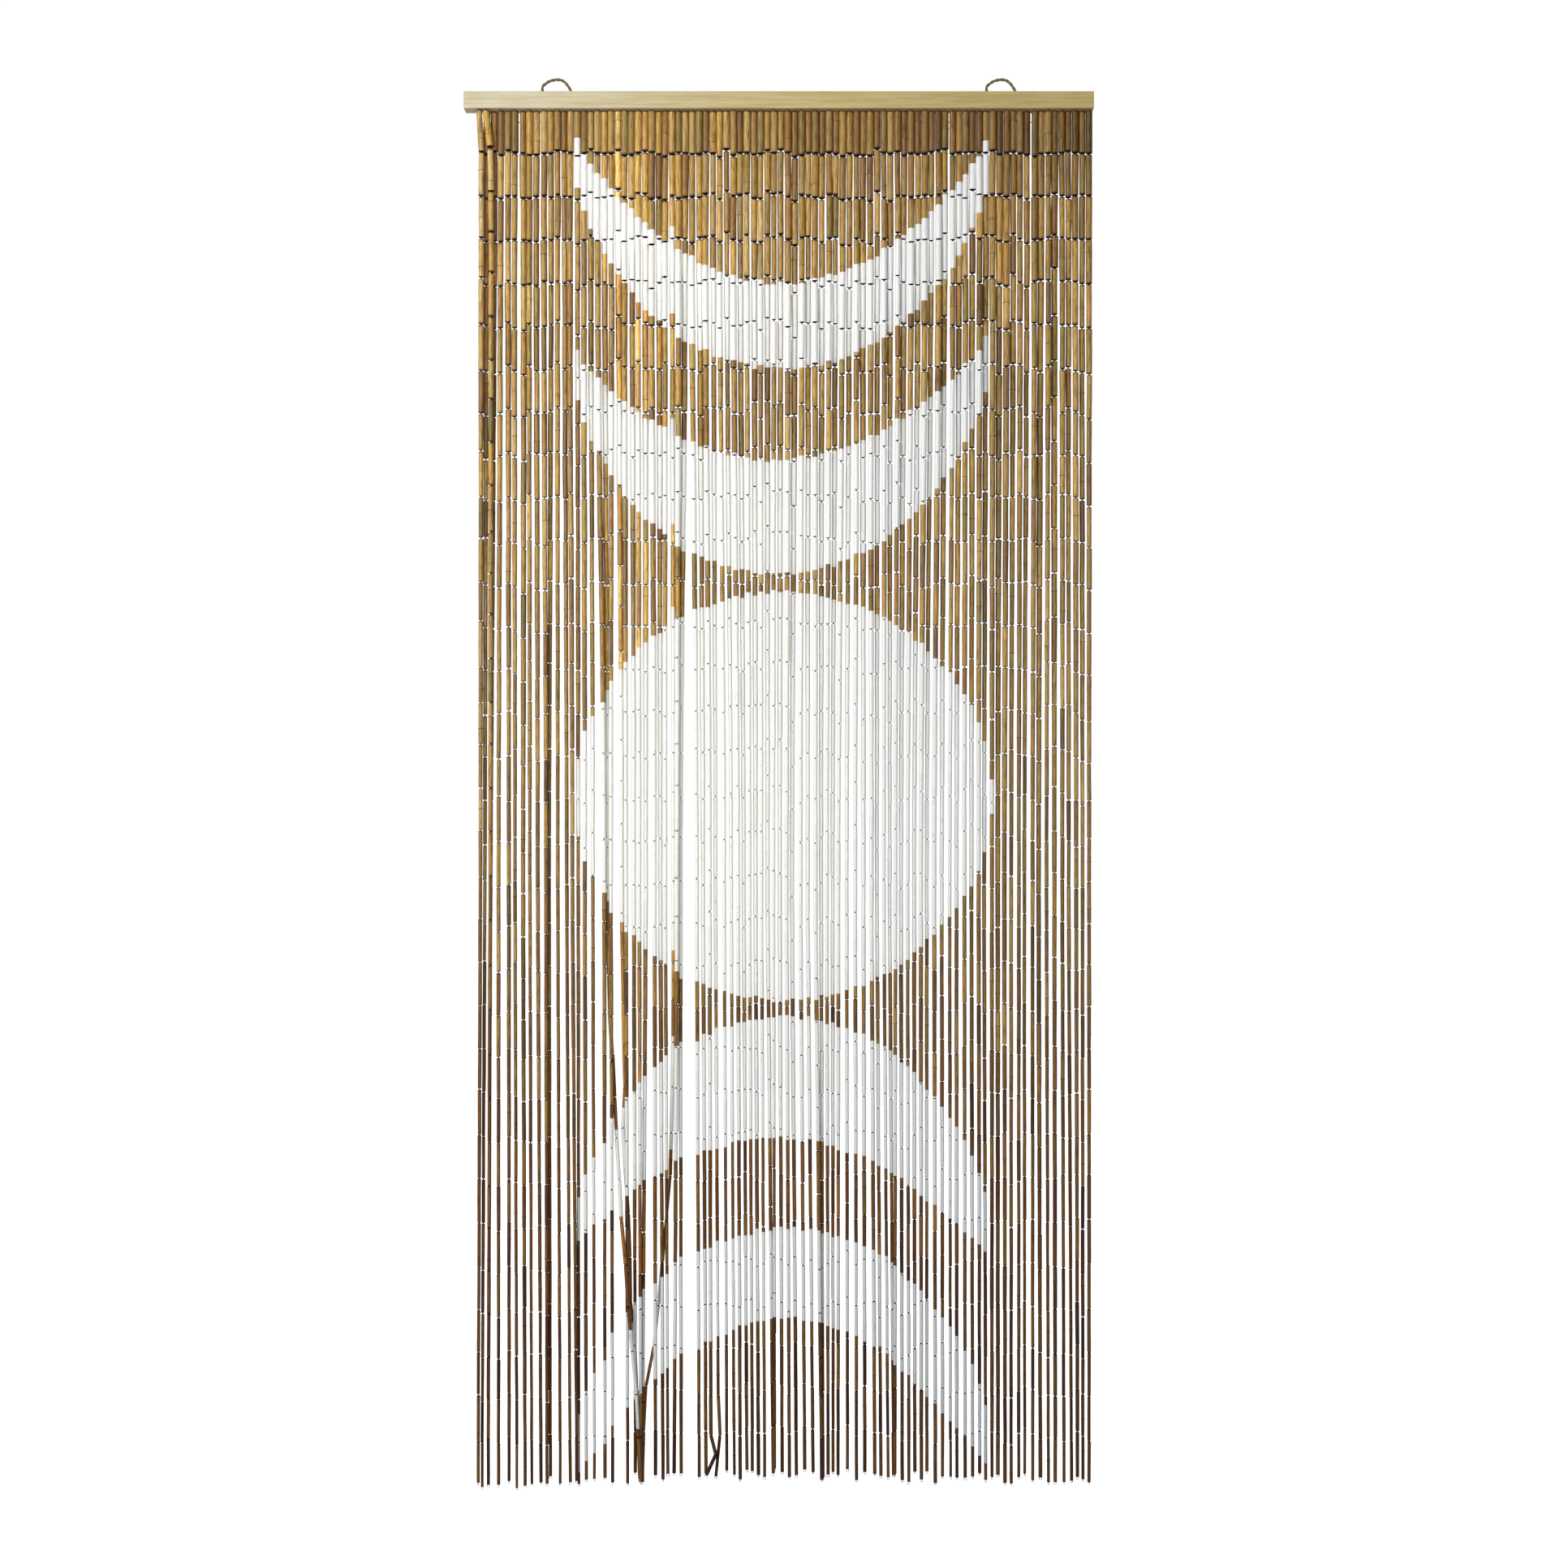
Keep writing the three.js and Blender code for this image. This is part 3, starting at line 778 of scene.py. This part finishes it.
def bell(count=None, limit=UNEVEN_LIMIT):
    """Random numbers about 0 that bunch in the middle, none of them beyond the limit."""
    return np.clip(random.standard_normal(count), -limit, limit)


def uneven(strand, purpose):
    """A repeatable number from -1 to 1 for each strand and purpose."""
    wave = math.sin(strand * WAVE_PER_STRAND + purpose * WAVE_PER_PURPOSE) * WAVE_SIZE
    return 2 * (wave - math.floor(wave)) - 1


def smooth(value):
    value = np.clip(value, 0, 1)
    return value * value * (3 - 2 * value)


def strand_place(strand):
    return EXTRA_PLACE if strand == EXTRA_STRAND else FIRST_PLACE + STRAND_PITCH * strand


def strand_end(strand):
    """The drop of the strand's lower end, by its own list where it leans only low down."""
    lean = LEANING.get(strand)
    if lean and lean[0][0] > 0:
        return lean[0][-1]
    spot = 0 if strand == EXTRA_STRAND else strand
    rise = np.interp(spot, [0, END_MIDDLE_STRAND, PLAIN_STRANDS - 1], END_RISES)
    return LONGEST_DROP - rise + END_UNEVEN * uneven(strand, FOR_END)


def top_row():
    """Width of each strand's first bead, and how far its place is from the even pitch."""
    change = np.zeros(PLAIN_STRANDS)
    for strand in range(1, PLAIN_STRANDS):
        chance = TOP_WIDTH_UNEVEN * bell(limit=TOP_WIDTH_LIMIT)
        change[strand] = TOP_WIDTH_SWING * change[strand - 1] + chance
    gaps = np.array([TOP_WIDE_GAPS.get(strand, TOP_GAP) for strand in range(1, PLAIN_STRANDS)])
    widths = (STRAND_PITCH * (PLAIN_STRANDS - 1) - gaps.sum()) / (PLAIN_STRANDS - 1) + change
    places = np.concatenate([[0], np.cumsum((widths[1:] + widths[:-1]) / 2 + gaps)])
    even = STRAND_PITCH * np.arange(PLAIN_STRANDS)
    return widths, places * even[-1] / places[-1] - even


TOP_WIDTHS, TOP_OFFSETS = top_row()


def top_offset(strand, drop):
    """How far a strand hangs beside its even place: by the first row, then also in clumps."""
    start, end = CLUMP_DROPS
    clumped = smooth((drop - start) / (end - start))
    return TOP_OFFSETS[strand] + CLUMPING * uneven(strand, FOR_CLUMP) * clumped


def settled(drop):
    """0 above SETTLE_DROP, 1 from MID_DROP down, and smooth between."""
    return smooth((drop - SETTLE_DROP) / (MID_DROP - SETTLE_DROP))


def plain_hang(strand, drop):
    """The sideways distance and the layer at each drop, for a strand that hangs freely."""
    strands, middles, lows = zip(*SIDEWAYS)
    middle = np.interp(strand, strands, middles) + LEAN_UNEVEN * uneven(strand, FOR_MIDDLE)
    low = np.interp(strand, strands, lows) + LEAN_UNEVEN * uneven(strand, FOR_LOW)
    upper = settled(drop)
    lower = np.maximum((drop - MID_DROP) / (LOW_DROP - MID_DROP), 0)
    face = -1 if strand % 2 == 1 else 1
    apart = smooth((drop - LAYER_START) / (LAYER_DROP - LAYER_START))
    layer = face * (TOP_LAYER + (1 - TOP_LAYER) * apart)
    offset = 0 if strand == EXTRA_STRAND else top_offset(strand, drop) * (1 - upper)
    return offset + middle * upper + (low - middle) * lower, layer


def strand_points(strand, drop):
    """The strand's middle line at these drops, as rows of x, y and z."""
    drop = np.asarray(drop, float)
    side, layer = plain_hang(strand, drop)
    if strand in LEANING:
        drops, sides, layers = LEANING[strand]
        upper = settled(drop)
        leans = drop >= drops[0]
        offset = 0 if drops[0] == 0 else top_offset(strand, drop)
        above = offset * (1 - upper) + sides[0] * upper
        side = np.where(leans, np.interp(drop, drops, sides), above)
        layer = np.where(leans, np.interp(drop, drops, layers), layer)
    width = np.interp(drop, WIDTH_DROPS, WIDTHS)
    depth = layer * (width / 2 + LAYER_GAP)
    return np.stack([strand_place(strand) + side, depth, BATTEN_UNDERSIDE - drop], axis=1)


# Paint

def paint_edge(edge, across):
    """The drop of one edge of a painted shape, this far beside the paint's middle."""
    middle, move, form, tilt = edge
    part = across / PAINT_REACH
    if form == "bowl":
        bend = part * part
    else:
        bend = 1 - math.sqrt(max(1 - (across / form) ** 2, 0))
    return middle + move * bend + tilt * part


def painted_spans(strand):
    """The drops between which a strand is painted, from its own place in the row."""
    across = strand_place(strand) - PAINT_MIDDLE
    spans = []
    if abs(across) < PAINT_LIMIT:
        spans = [[paint_edge(upper, across), paint_edge(lower, across)] for upper, lower in PAINTED]
    if PAINT_TIP < abs(across) < PAINT_LIMIT:
        spans[0][0] -= TIP_RISE
        spans[1][0] -= TIP_RISE
    off = (strand_place(strand) - MOON_MIDDLE) / MOON_HALF_WIDTH
    if abs(off) < 1:
        half = MOON_HALF_HEIGHT * math.sqrt(1 - off * off)
        spans.append([MOON_DROP - half, MOON_DROP + half])
    spans = np.array(spans).reshape(-1, 2)
    lift = np.interp(spans, *PAINT_LIFTED.get(strand, ([0], [0])))
    jitter = PAINT_UNEVEN * random.uniform(-1, 1, spans.shape)
    return (spans + jitter - lift).tolist()


def bead_paint(strand, top_drop, end_drop):
    """The upper and lower height of up to two painted stretches on each bead."""
    spans = sorted(painted_spans(strand))
    paint = np.full((len(top_drop), 2, 2), NO_PAINT)
    for bead, (top, end) in enumerate(zip(top_drop, end_drop)):
        hit = [span for span in spans if span[1] > top and span[0] < end][:2]
        for slot, (first, last) in enumerate(hit):
            paint[bead, slot] = (BATTEN_UNDERSIDE - first, BATTEN_UNDERSIDE - last)
    return paint


# Beads

def pick_tints(table, count):
    """Colours drawn from a table by their shares, some way towards the table's mean."""
    colours = np.array([colour for colour, share in table])
    shares = np.array([share for colour, share in table])
    shares /= shares.sum()
    chosen = colours[random.choice(len(table), count, p=shares)]
    return TINT_TO_MEAN * (shares @ colours) + (1 - TINT_TO_MEAN) * chosen


def bead_tints_and_shade(strand, middle_drops):
    """One colour for each bead, by chance and by its drop, with painted shade in the first row and
    to the right, and painted light on strands in shade.
    """
    count = len(middle_drops)
    brown = np.interp(middle_drops, BROWNING_DROPS, [0, 1])
    brown = smooth(brown + BROWNING_UNEVEN * random.uniform(-1, 1, count))[:, None]
    upper = pick_tints(UPPER_TINTS, count)
    lower = pick_tints(LOWER_TINTS, count)
    # The first row's lower level is painted shade under the batten.
    level = np.interp(middle_drops, TINT_DROPS, TINT_LEVELS_WITH_BATTEN_SHADE)
    level *= 1 + TINT_UNEVEN * bell(count)
    # Painted light: strands in their neighbours' shadow get paler beads.
    level *= SHADE_LIFTED_STRANDS.get(strand, 1)
    tint_and_shade = (upper * (1 - brown) + lower * brown) * level[:, None]
    # Painted shade: the beads lose colour towards the right edge, where less light falls.
    right = np.clip(strand_place(strand) / FIRST_PLACE, -1, 0)
    for channel, darker in enumerate(BEAD_RIGHT_SHADE):
        tint_and_shade[:, channel] *= 1 + right * np.interp(middle_drops, BEAD_RIGHT_SHADE_DROPS, darker)
    tint_and_shade[:, 3] = 1
    return tint_and_shade


def bead_joints(strand):
    """The drops at which one bead ends and the next begins, from the first top to the last end."""
    tail = KINKED.get(strand, [strand_end(strand)])
    total = tail[0] - BEAD_TOP_DROP
    count = round(total / BEAD_PITCH)
    lengths = BEAD_PITCH * (1 + BEAD_UNEVEN * random.standard_normal(count))
    lengths[1:] -= SHORT_BEAD_CUT * (random.random(count - 1) < SHORT_BEAD_SHARE)
    lengths[0] -= FIRST_BEAD_CUTS.get(strand, 0)
    lengths[1:] *= (total - lengths[0]) / lengths[1:].sum()
    return np.concatenate([[BEAD_TOP_DROP], BEAD_TOP_DROP + np.cumsum(lengths), tail[1:]])


def bead_drops(strand):
    """The drops of each bead's top and end, with a small gap at each joint."""
    joints = bead_joints(strand)
    between = joints[1:-1]
    power = np.interp(between, JOINT_GAP_DROPS, JOINT_GAP_POWERS)
    gap = np.interp(between, JOINT_GAP_DROPS, JOINT_GAPS)
    gap += JOINT_GAP_SPREAD * random.random(len(between)) ** power
    top_drop = np.concatenate([joints[:1], between + gap / 2])
    end_drop = np.concatenate([between - gap / 2, joints[-1:]])
    return top_drop, end_drop


def bead_shifts(top_drop):
    """How far each bead's top and end lie beside the strand's middle line."""
    size = np.interp(top_drop, JOINT_SHIFT_DROPS, JOINT_SHIFTS)[:, None, None]
    shift = size * random.uniform(-1, 1, (len(top_drop), 2, 3)) * [1, 1, 0]
    shift[0] = 0
    return shift


def bead_widths(strand, top_drop, end_drop):
    """The width of each bead at its top and at its end."""
    count = len(top_drop)
    bead_uneven = np.interp(top_drop, JOINT_SHIFT_DROPS, BEAD_WIDTH_UNEVEN)
    strand_size = 1 + STRAND_WIDTH_UNEVEN * bell()
    size = strand_size + bead_uneven * bell(count)
    size *= np.interp(strand, [0, PLAIN_STRANDS - 1], WIDTH_SIDES)
    taper = 1 + BEAD_TAPER * random.standard_normal(count)
    size[0] = 1
    taper[0] = 1
    top_width = np.interp(top_drop, WIDTH_DROPS, WIDTHS) * size * taper
    end_width = np.interp(end_drop, WIDTH_DROPS, WIDTHS) * size / taper
    if strand != EXTRA_STRAND:
        top_width[0] = TOP_WIDTHS[strand]
        end_width[0] = TOP_WIDTHS[strand]
    return top_width, end_width


def strand_beads(strand):
    """What each bead of a strand is like, as a dictionary of arrays with one row a bead."""
    top_drop, end_drop = bead_drops(strand)
    count = len(top_drop)
    shift = bead_shifts(top_drop)
    top_width, end_width = bead_widths(strand, top_drop, end_drop)
    has_node = random.random(count) < NODE_SHARE
    if strand in (0, EXTRA_STRAND):
        has_node[:NODED_FIRST_BEADS] = True
    node_part = random.uniform(*NODE_PARTS, count)
    bow = np.interp(top_drop, JOINT_SHIFT_DROPS, BEAD_BOWS)[:, None]
    bow = bow * random.uniform(-1, 1, (count, 2))
    bow[0] = 0
    tint_and_shade = bead_tints_and_shade(strand, (top_drop + end_drop) / 2)
    for (owner, row), (width, colour) in SINGLE_OUT.items():
        if owner == strand:
            top_width[row] = width
            end_width[row] = width
            tint_and_shade[row] = colour
    paint = bead_paint(strand, top_drop, end_drop)
    return {
        "top": strand_points(strand, top_drop) + shift[:, 0],
        "end": strand_points(strand, end_drop) + shift[:, 1],
        "top_radius": top_width / 2,
        "end_radius": end_width / 2,
        "has_node": has_node,
        "node_part": node_part,
        "bow": bow,
        "tint_and_shade": tint_and_shade,
        "seed": random.random(count),
        "paint": paint,
    }


def unit(vectors):
    return vectors / np.linalg.norm(vectors, axis=-1, keepdims=True)


def turned(angle, first, second):
    """Directions at these angles from the first direction towards the second."""
    return np.cos(angle)[..., None] * first + np.sin(angle)[..., None] * second


def ring_quads(ring, after, sides):
    """The quads between rings of corners, given by the first corner of each and of the next."""
    near = np.arange(sides)
    far = (near + 1) % sides
    return np.stack([ring + near, ring + far, after + far, after + near], axis=-1).reshape(-1, 4)


def quad_mesh(name, corners, quads):
    mesh = bpy.data.meshes.new(name)
    mesh.vertices.add(len(corners))
    mesh.vertices.foreach_set("co", (corners * MM).ravel())
    mesh.loops.add(quads.size)
    mesh.loops.foreach_set("vertex_index", quads.astype(np.int32).ravel())
    mesh.polygons.add(len(quads))
    mesh.polygons.foreach_set("loop_start", np.arange(0, quads.size, 4, dtype=np.int32))
    mesh.update(calc_edges=True)
    mesh.shade_smooth()
    return mesh


def add_vectors(mesh, name, rows):
    attribute = mesh.attributes.new(name, "FLOAT_VECTOR", "POINT")
    attribute.data.foreach_set("vector", rows.astype(np.float32).ravel())


def bead_rings(beads):
    """For each bead its ten rings: how far down it they lie, and their radius."""
    length = np.linalg.norm(beads["end"] - beads["top"], axis=1)
    node = beads["node_part"] * length
    bulge = np.where(beads["has_node"], NODE_BULGE, 0)
    zero = np.zeros_like(length)
    at_top = [zero, zero, zero + BEAD_BEVEL]
    at_node = [node + way * NODE_HALF for way in (-1, -NODE_CREST, NODE_CREST, 1)]
    at_end = [length - BEAD_BEVEL, length, length]
    part = np.stack([*at_top, *at_node, *at_end], axis=1) / length[:, None]
    radius = beads["top_radius"][:, None] * (1 - part) + beads["end_radius"][:, None] * part
    radius[:, CREST_RINGS] += np.outer(bulge, [1, NODE_LOWER_BULGE])
    radius[:, EDGE_RINGS] -= BEAD_BEVEL
    radius[:, BORE_RINGS] *= BEAD_BORE
    return part, radius


def bead_mesh(name, beads):
    """All beads as one mesh of hollow tubes, with what the material needs at each corner."""
    part, radius = bead_rings(beads)
    count, rings = part.shape
    axis = unit(beads["end"] - beads["top"])
    across = unit(np.cross(axis, [0.0, 1.0, 0.0]))
    ahead = np.cross(axis, across)
    bow = beads["bow"]
    angle = 2 * np.pi * np.arange(BEAD_SIDES) / BEAD_SIDES
    oval = 1 + BEAD_OVAL * np.cos(2 * angle[None, :] + OVAL_TURN * beads["seed"][:, None])
    centre = beads["top"][:, None] + part[..., None] * (beads["end"] - beads["top"])[:, None]
    arch = (4 * part * (1 - part))[..., None]
    centre += arch * (bow[:, None, :1] * across[:, None] + bow[:, None, 1:] * ahead[:, None])
    ring = turned(angle[None, :], across[:, None], ahead[:, None])
    reach = radius[:, :, None] * oval[:, None, :]
    corners = centre[:, :, None] + reach[..., None] * ring[:, None]
    first = np.arange(count * rings).reshape(count, rings, 1) * BEAD_SIDES
    quads = ring_quads(first, np.roll(first, -1, axis=1), BEAD_SIDES)
    mesh = quad_mesh(name, corners.reshape(-1, 3), quads)
    mesh.set_sharp_from_angle(angle=math.radians(SHARP_ANGLE))

    each = rings * BEAD_SIDES
    cut = np.zeros((count, rings, BEAD_SIDES))
    cut[:, BORE_RINGS] = CUT_AT_BORE
    cut[:, EDGE_RINGS] = CUT_AT_EDGE
    cut[:, BEVEL_RINGS] = CUT_AT_BEVEL
    node_height = np.where(beads["has_node"], centre[:, CREST_RINGS, 2].mean(axis=1) * MM, NO_NODE)
    seeds = np.repeat(beads["seed"], each)
    add_vectors(mesh, "facts", np.stack([seeds, cut.ravel(), np.repeat(node_height, each)], axis=1))
    for slot, attribute in enumerate(("paint_upper", "paint_lower")):
        limits = np.concatenate([beads["paint"][:, slot] * MM, np.zeros((count, 1))], axis=1)
        add_vectors(mesh, attribute, np.repeat(limits, each, axis=0))
    tint_and_shade = mesh.attributes.new("tint_and_shade", "FLOAT_COLOR", "POINT")
    tint_and_shade.data.foreach_set("color", np.repeat(beads["tint_and_shade"], each, axis=0).astype(np.float32).ravel())
    return mesh


def add_piece(name, mesh, material, replaced=()):
    """A shown piece of the curtain that rides on its one body."""
    mesh.materials.append(material)
    piece = bpy.data.objects.new(name, mesh)
    scene.collection.objects.link(piece)
    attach(piece, "root")
    if replaced:
        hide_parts(*replaced)


def add_beads():
    """The strands' beads, a few strands to a piece. Gives back each strand's beads."""
    material = bamboo_material()
    order = [0, EXTRA_STRAND, *range(1, PLAIN_STRANDS)]
    made = [strand_beads(strand) for strand in order]
    for start in range(0, len(made), STRANDS_PER_PIECE):
        group = made[start : start + STRANDS_PER_PIECE]
        beads = {key: np.concatenate([strand[key] for strand in group]) for key in group[0]}
        name = f"beads_{start // STRANDS_PER_PIECE:02d}"
        add_piece(name, bead_mesh(name, beads), material, ["strands"] if start == 0 else [])
    return made


# Wire links

def eye_template(radius, steps, sides):
    """The corners and quads of one wire eye that stands across the view."""
    turn = 2 * np.pi * np.arange(steps) / steps
    round_wire = 2 * np.pi * np.arange(sides) / sides
    reach = radius + WIRE_RADIUS * np.cos(round_wire)[None, :]
    corners = np.stack(
        [
            np.sin(turn)[:, None] * reach,
            np.broadcast_to(WIRE_RADIUS * np.sin(round_wire), (steps, sides)),
            np.cos(turn)[:, None] * reach,
        ],
        axis=2,
    ).reshape(-1, 3)
    ring = np.arange(steps)[:, None] * sides
    return corners, ring_quads(ring, np.roll(ring, -1, axis=0), sides)


def rod_template():
    """The corners and faces of one four-sided length of wire, from 0 to 1 down its own line."""
    square = WIRE_RADIUS * np.array([(1, 0), (0, 1), (-1, 0), (0, -1)])
    top = np.column_stack([square, np.zeros(4)])
    corners = np.concatenate([top, top + [0, 0, 1]])
    sides = [(i, i + 4, (i + 1) % 4 + 4, (i + 1) % 4) for i in range(4)]
    return corners, np.array([*sides, (0, 1, 2, 3), (7, 6, 5, 4)])


def copied(quads, corner_count, copies):
    """The quads of a template for each of its copies."""
    return (quads[None] + (np.arange(copies) * corner_count)[:, None, None]).reshape(-1, 4)


def stamped(template, places, turns):
    """Copies of a template at each place, each turned about its own upright line."""
    corners, quads = template
    cos = np.cos(turns)[:, None]
    sin = np.sin(turns)[:, None]
    x = corners[None, :, 0] * cos - corners[None, :, 1] * sin
    y = corners[None, :, 0] * sin + corners[None, :, 1] * cos
    z = np.broadcast_to(corners[None, :, 2], x.shape)
    moved = np.stack([x, y, z], axis=2) + np.asarray(places)[:, None]
    return moved.reshape(-1, 3), copied(quads, len(corners), len(places))


def rods(starts, ends):
    """Straight wires from each start to each end."""
    corners, quads = rod_template()
    run = (ends - starts)[:, None]
    moved = starts[:, None] + corners[None] * [1, 1, 0] + run * corners[None, :, 2:]
    return moved.reshape(-1, 3), copied(quads, len(corners), len(starts))


def link_parts(beads):
    """The wire of one strand: rods in its beads, hooked eyes between them and an end eye."""
    up = np.array([0, 0, EYE_RADIUS / 2])
    joints = (beads["end"][:-1] + beads["top"][1:]) / 2
    tops = np.concatenate([beads["top"][:1], joints - 3 * up])
    ends = np.concatenate([joints + 3 * up, beads["end"][-1:]])
    eye = eye_template(EYE_RADIUS, EYE_STEPS, EYE_SIDES)
    skew = random.uniform(-EYE_SKEW, EYE_SKEW, len(joints))
    root = beads["top"][:1] + [0, 0, BEAD_TOP_DROP - ROOT_EYE_LOWERED]
    root_eye = eye_template(ROOT_EYE_RADIUS, ROOT_EYE_STEPS, EYE_SIDES)
    last = beads["end"][-1:] - [0, 0, END_EYE_LOWERED]
    end_radius = END_EYE_RADIUS * random.uniform(*END_EYE_SIZES)
    end_eye = eye_template(end_radius, END_EYE_STEPS, END_EYE_SIDES)
    return [
        rods(tops, ends),
        stamped(eye, joints + up, skew),
        stamped(eye, joints - up, skew + np.pi / 2),
        stamped(root_eye, root, np.zeros(1)),
        stamped(end_eye, last, random.uniform(-END_EYE_TURN, END_EYE_TURN, 1)),
    ]


def joined(parts):
    """Several pairs of corners and quads as one pair."""
    offsets = np.cumsum([0] + [len(corners) for corners, quads in parts[:-1]])
    corners = np.concatenate([corners for corners, quads in parts])
    quads = np.concatenate([quads + offset for (_, quads), offset in zip(parts, offsets)])
    return corners, quads


def add_links(made):
    """The wire links of all strands, some strands to a piece."""
    material = wire_material()
    for start in range(0, len(made), STRANDS_PER_LINK_PIECE):
        parts = []
        for beads in made[start : start + STRANDS_PER_LINK_PIECE]:
            parts.extend(link_parts(beads))
        name = f"wire_links_{start // STRANDS_PER_LINK_PIECE}"
        add_piece(name, quad_mesh(name, *joined(parts)), material)


# Rope loops

class Tubes:
    """Round tubes along lists of points, gathered into one mesh."""

    def __init__(self):
        self.corners = []
        self.faces = []

    def add(self, points, radii, sides):
        """radii holds one radius a point, or one row of radii a point with one for each side."""
        points = np.asarray(points, float)
        count = len(points)
        radii = np.asarray(radii, float)
        if radii.ndim == 1:
            radii = np.repeat(radii[:, None], sides, axis=1)
        tangents = unit(np.gradient(points, axis=0))
        side = unit(np.cross(tangents[0], NO_TUBES_WAY))
        angle = 2 * np.pi * np.arange(sides) / sides
        base = len(self.corners)
        for point, tangent, radius in zip(points, tangents, radii):
            side = unit(side - tangent * side.dot(tangent))
            ring = radius[:, None] * turned(angle, side, np.cross(tangent, side))
            self.corners.extend((point + ring) * MM)
        ring = base + sides * np.arange(count - 1)[:, None]
        self.faces.extend(ring_quads(ring, ring + sides, sides).tolist())
        last = base + (count - 1) * sides
        self.faces.append([base + corner for corner in reversed(range(sides))])
        self.faces.append([last + corner for corner in range(sides)])

    def mesh(self, name):
        mesh = bpy.data.meshes.new(name)
        mesh.from_pydata([tuple(corner) for corner in self.corners], [], self.faces)
        mesh.shade_smooth()
        return mesh


def curve_through(points, steps):
    """Evenly spaced points on a smooth line through the given ones, and how far along it."""
    points = np.asarray(points, float)
    padded = np.concatenate([[2 * points[0] - points[1]], points, [2 * points[-1] - points[-2]]])
    fine = []
    for a, b, c, d in zip(padded, padded[1:], padded[2:], padded[3:]):
        slope = c - a
        bend = 2 * a - 5 * b + 4 * c - d
        turn = 3 * b - a - 3 * c + d
        for t in np.linspace(0, 1, CURVE_FINENESS, endpoint=False):
            fine.append(0.5 * (2 * b + slope * t + bend * t**2 + turn * t**3))
    fine = np.array([*fine, points[-1]])
    run = np.concatenate([[0], np.cumsum(np.linalg.norm(np.diff(fine, axis=0), axis=1))])
    even = np.linspace(0, run[-1], steps)
    return np.stack([np.interp(even, run, fine[:, axis]) for axis in range(3)], axis=1), even


def add_plies(tubes, points, run, outward, depth):
    """Two plies twisted about the rope's middle line, with their yarns as low ridges."""
    angle = 2 * np.pi * np.arange(PLY_SIDES) / PLY_SIDES
    yarn_turn = 2 * np.pi * run / YARN_LAY
    ridges = np.abs(np.cos(0.5 * PLY_YARNS * (angle[None, :] + yarn_turn[:, None])))
    radii = PLY_RADIUS * (1 - YARN_RELIEF + 2 * YARN_RELIEF * (ridges - 0.5))
    for ply in range(2):
        turn = 2 * np.pi * run / ROPE_LAY + np.pi * ply
        tubes.add(points + PLY_OFFSET * turned(turn, outward, depth), radii, PLY_SIDES)


def add_stray_fibres(tubes, points, tangent, outward, depth):
    """Short thin hairs that stand off the rope at all sides."""
    for _ in range(STRAY_FIBRES):
        at = random.integers(*STRAY_STEPS)
        turn = random.uniform(0, 2 * np.pi)
        out = math.cos(turn) * outward[at] + math.sin(turn) * depth[at]
        start = points[at] + out * STRAY_ROOT
        slant = tangent[at] * random.uniform(-STRAY_SLANT, STRAY_SLANT)
        length = random.uniform(*STRAY_LENGTHS)
        tip = start + out * length + slant
        middle = (start + tip) / 2 + slant * STRAY_BEND
        tubes.add([start, middle, tip], STRAY_RADII, STRAY_SIDES)


def add_rope_loop(side, x, material):
    """A loop of two twisted plies with stray fibres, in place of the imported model's loop."""
    legs_and_arch = [
        (LEG_LEFT, -LEG_SEAT),
        (LEG_LEFT, 0),
        *LOOP_ARCH,
        (LEG_RIGHT, 0),
        (LEG_RIGHT, -LEG_SEAT),
    ]
    line = [(x + right, 0, BATTEN_TOP + up) for right, up in legs_and_arch]
    points, run = curve_through(line, ROPE_STEPS)
    tangent = unit(np.gradient(points, axis=0))
    depth = np.tile([0.0, 1.0, 0.0], (ROPE_STEPS, 1))
    outward = np.cross(depth, tangent)
    tubes = Tubes()
    add_plies(tubes, points, run, outward, depth)
    add_stray_fibres(tubes, points, tangent, outward, depth)
    name = f"rope_loop_{side}"
    add_piece(f"{name}_twist", tubes.mesh(f"{name}_twist"), material, [name])


def dress_batten():
    """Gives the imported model's batten its finished material. Its shape stays as it is."""
    materials = nodes["batten"].data.materials
    pine = pine_material()
    for slot in range(len(materials)):
        materials[slot] = pine


# The scene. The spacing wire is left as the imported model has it.

add_camera()
add_world()
add_floor()
add_light("key", **KEY_LIGHT)
add_light("fill", **FILL_LIGHT)
scene.view_settings.view_transform = "Standard"

made_strands = add_beads()
add_links(made_strands)
jute = jute_material()
add_rope_loop("left", -LOOP_SPACING / 2, jute)
add_rope_loop("right", LOOP_SPACING / 2, jute)
dress_batten()
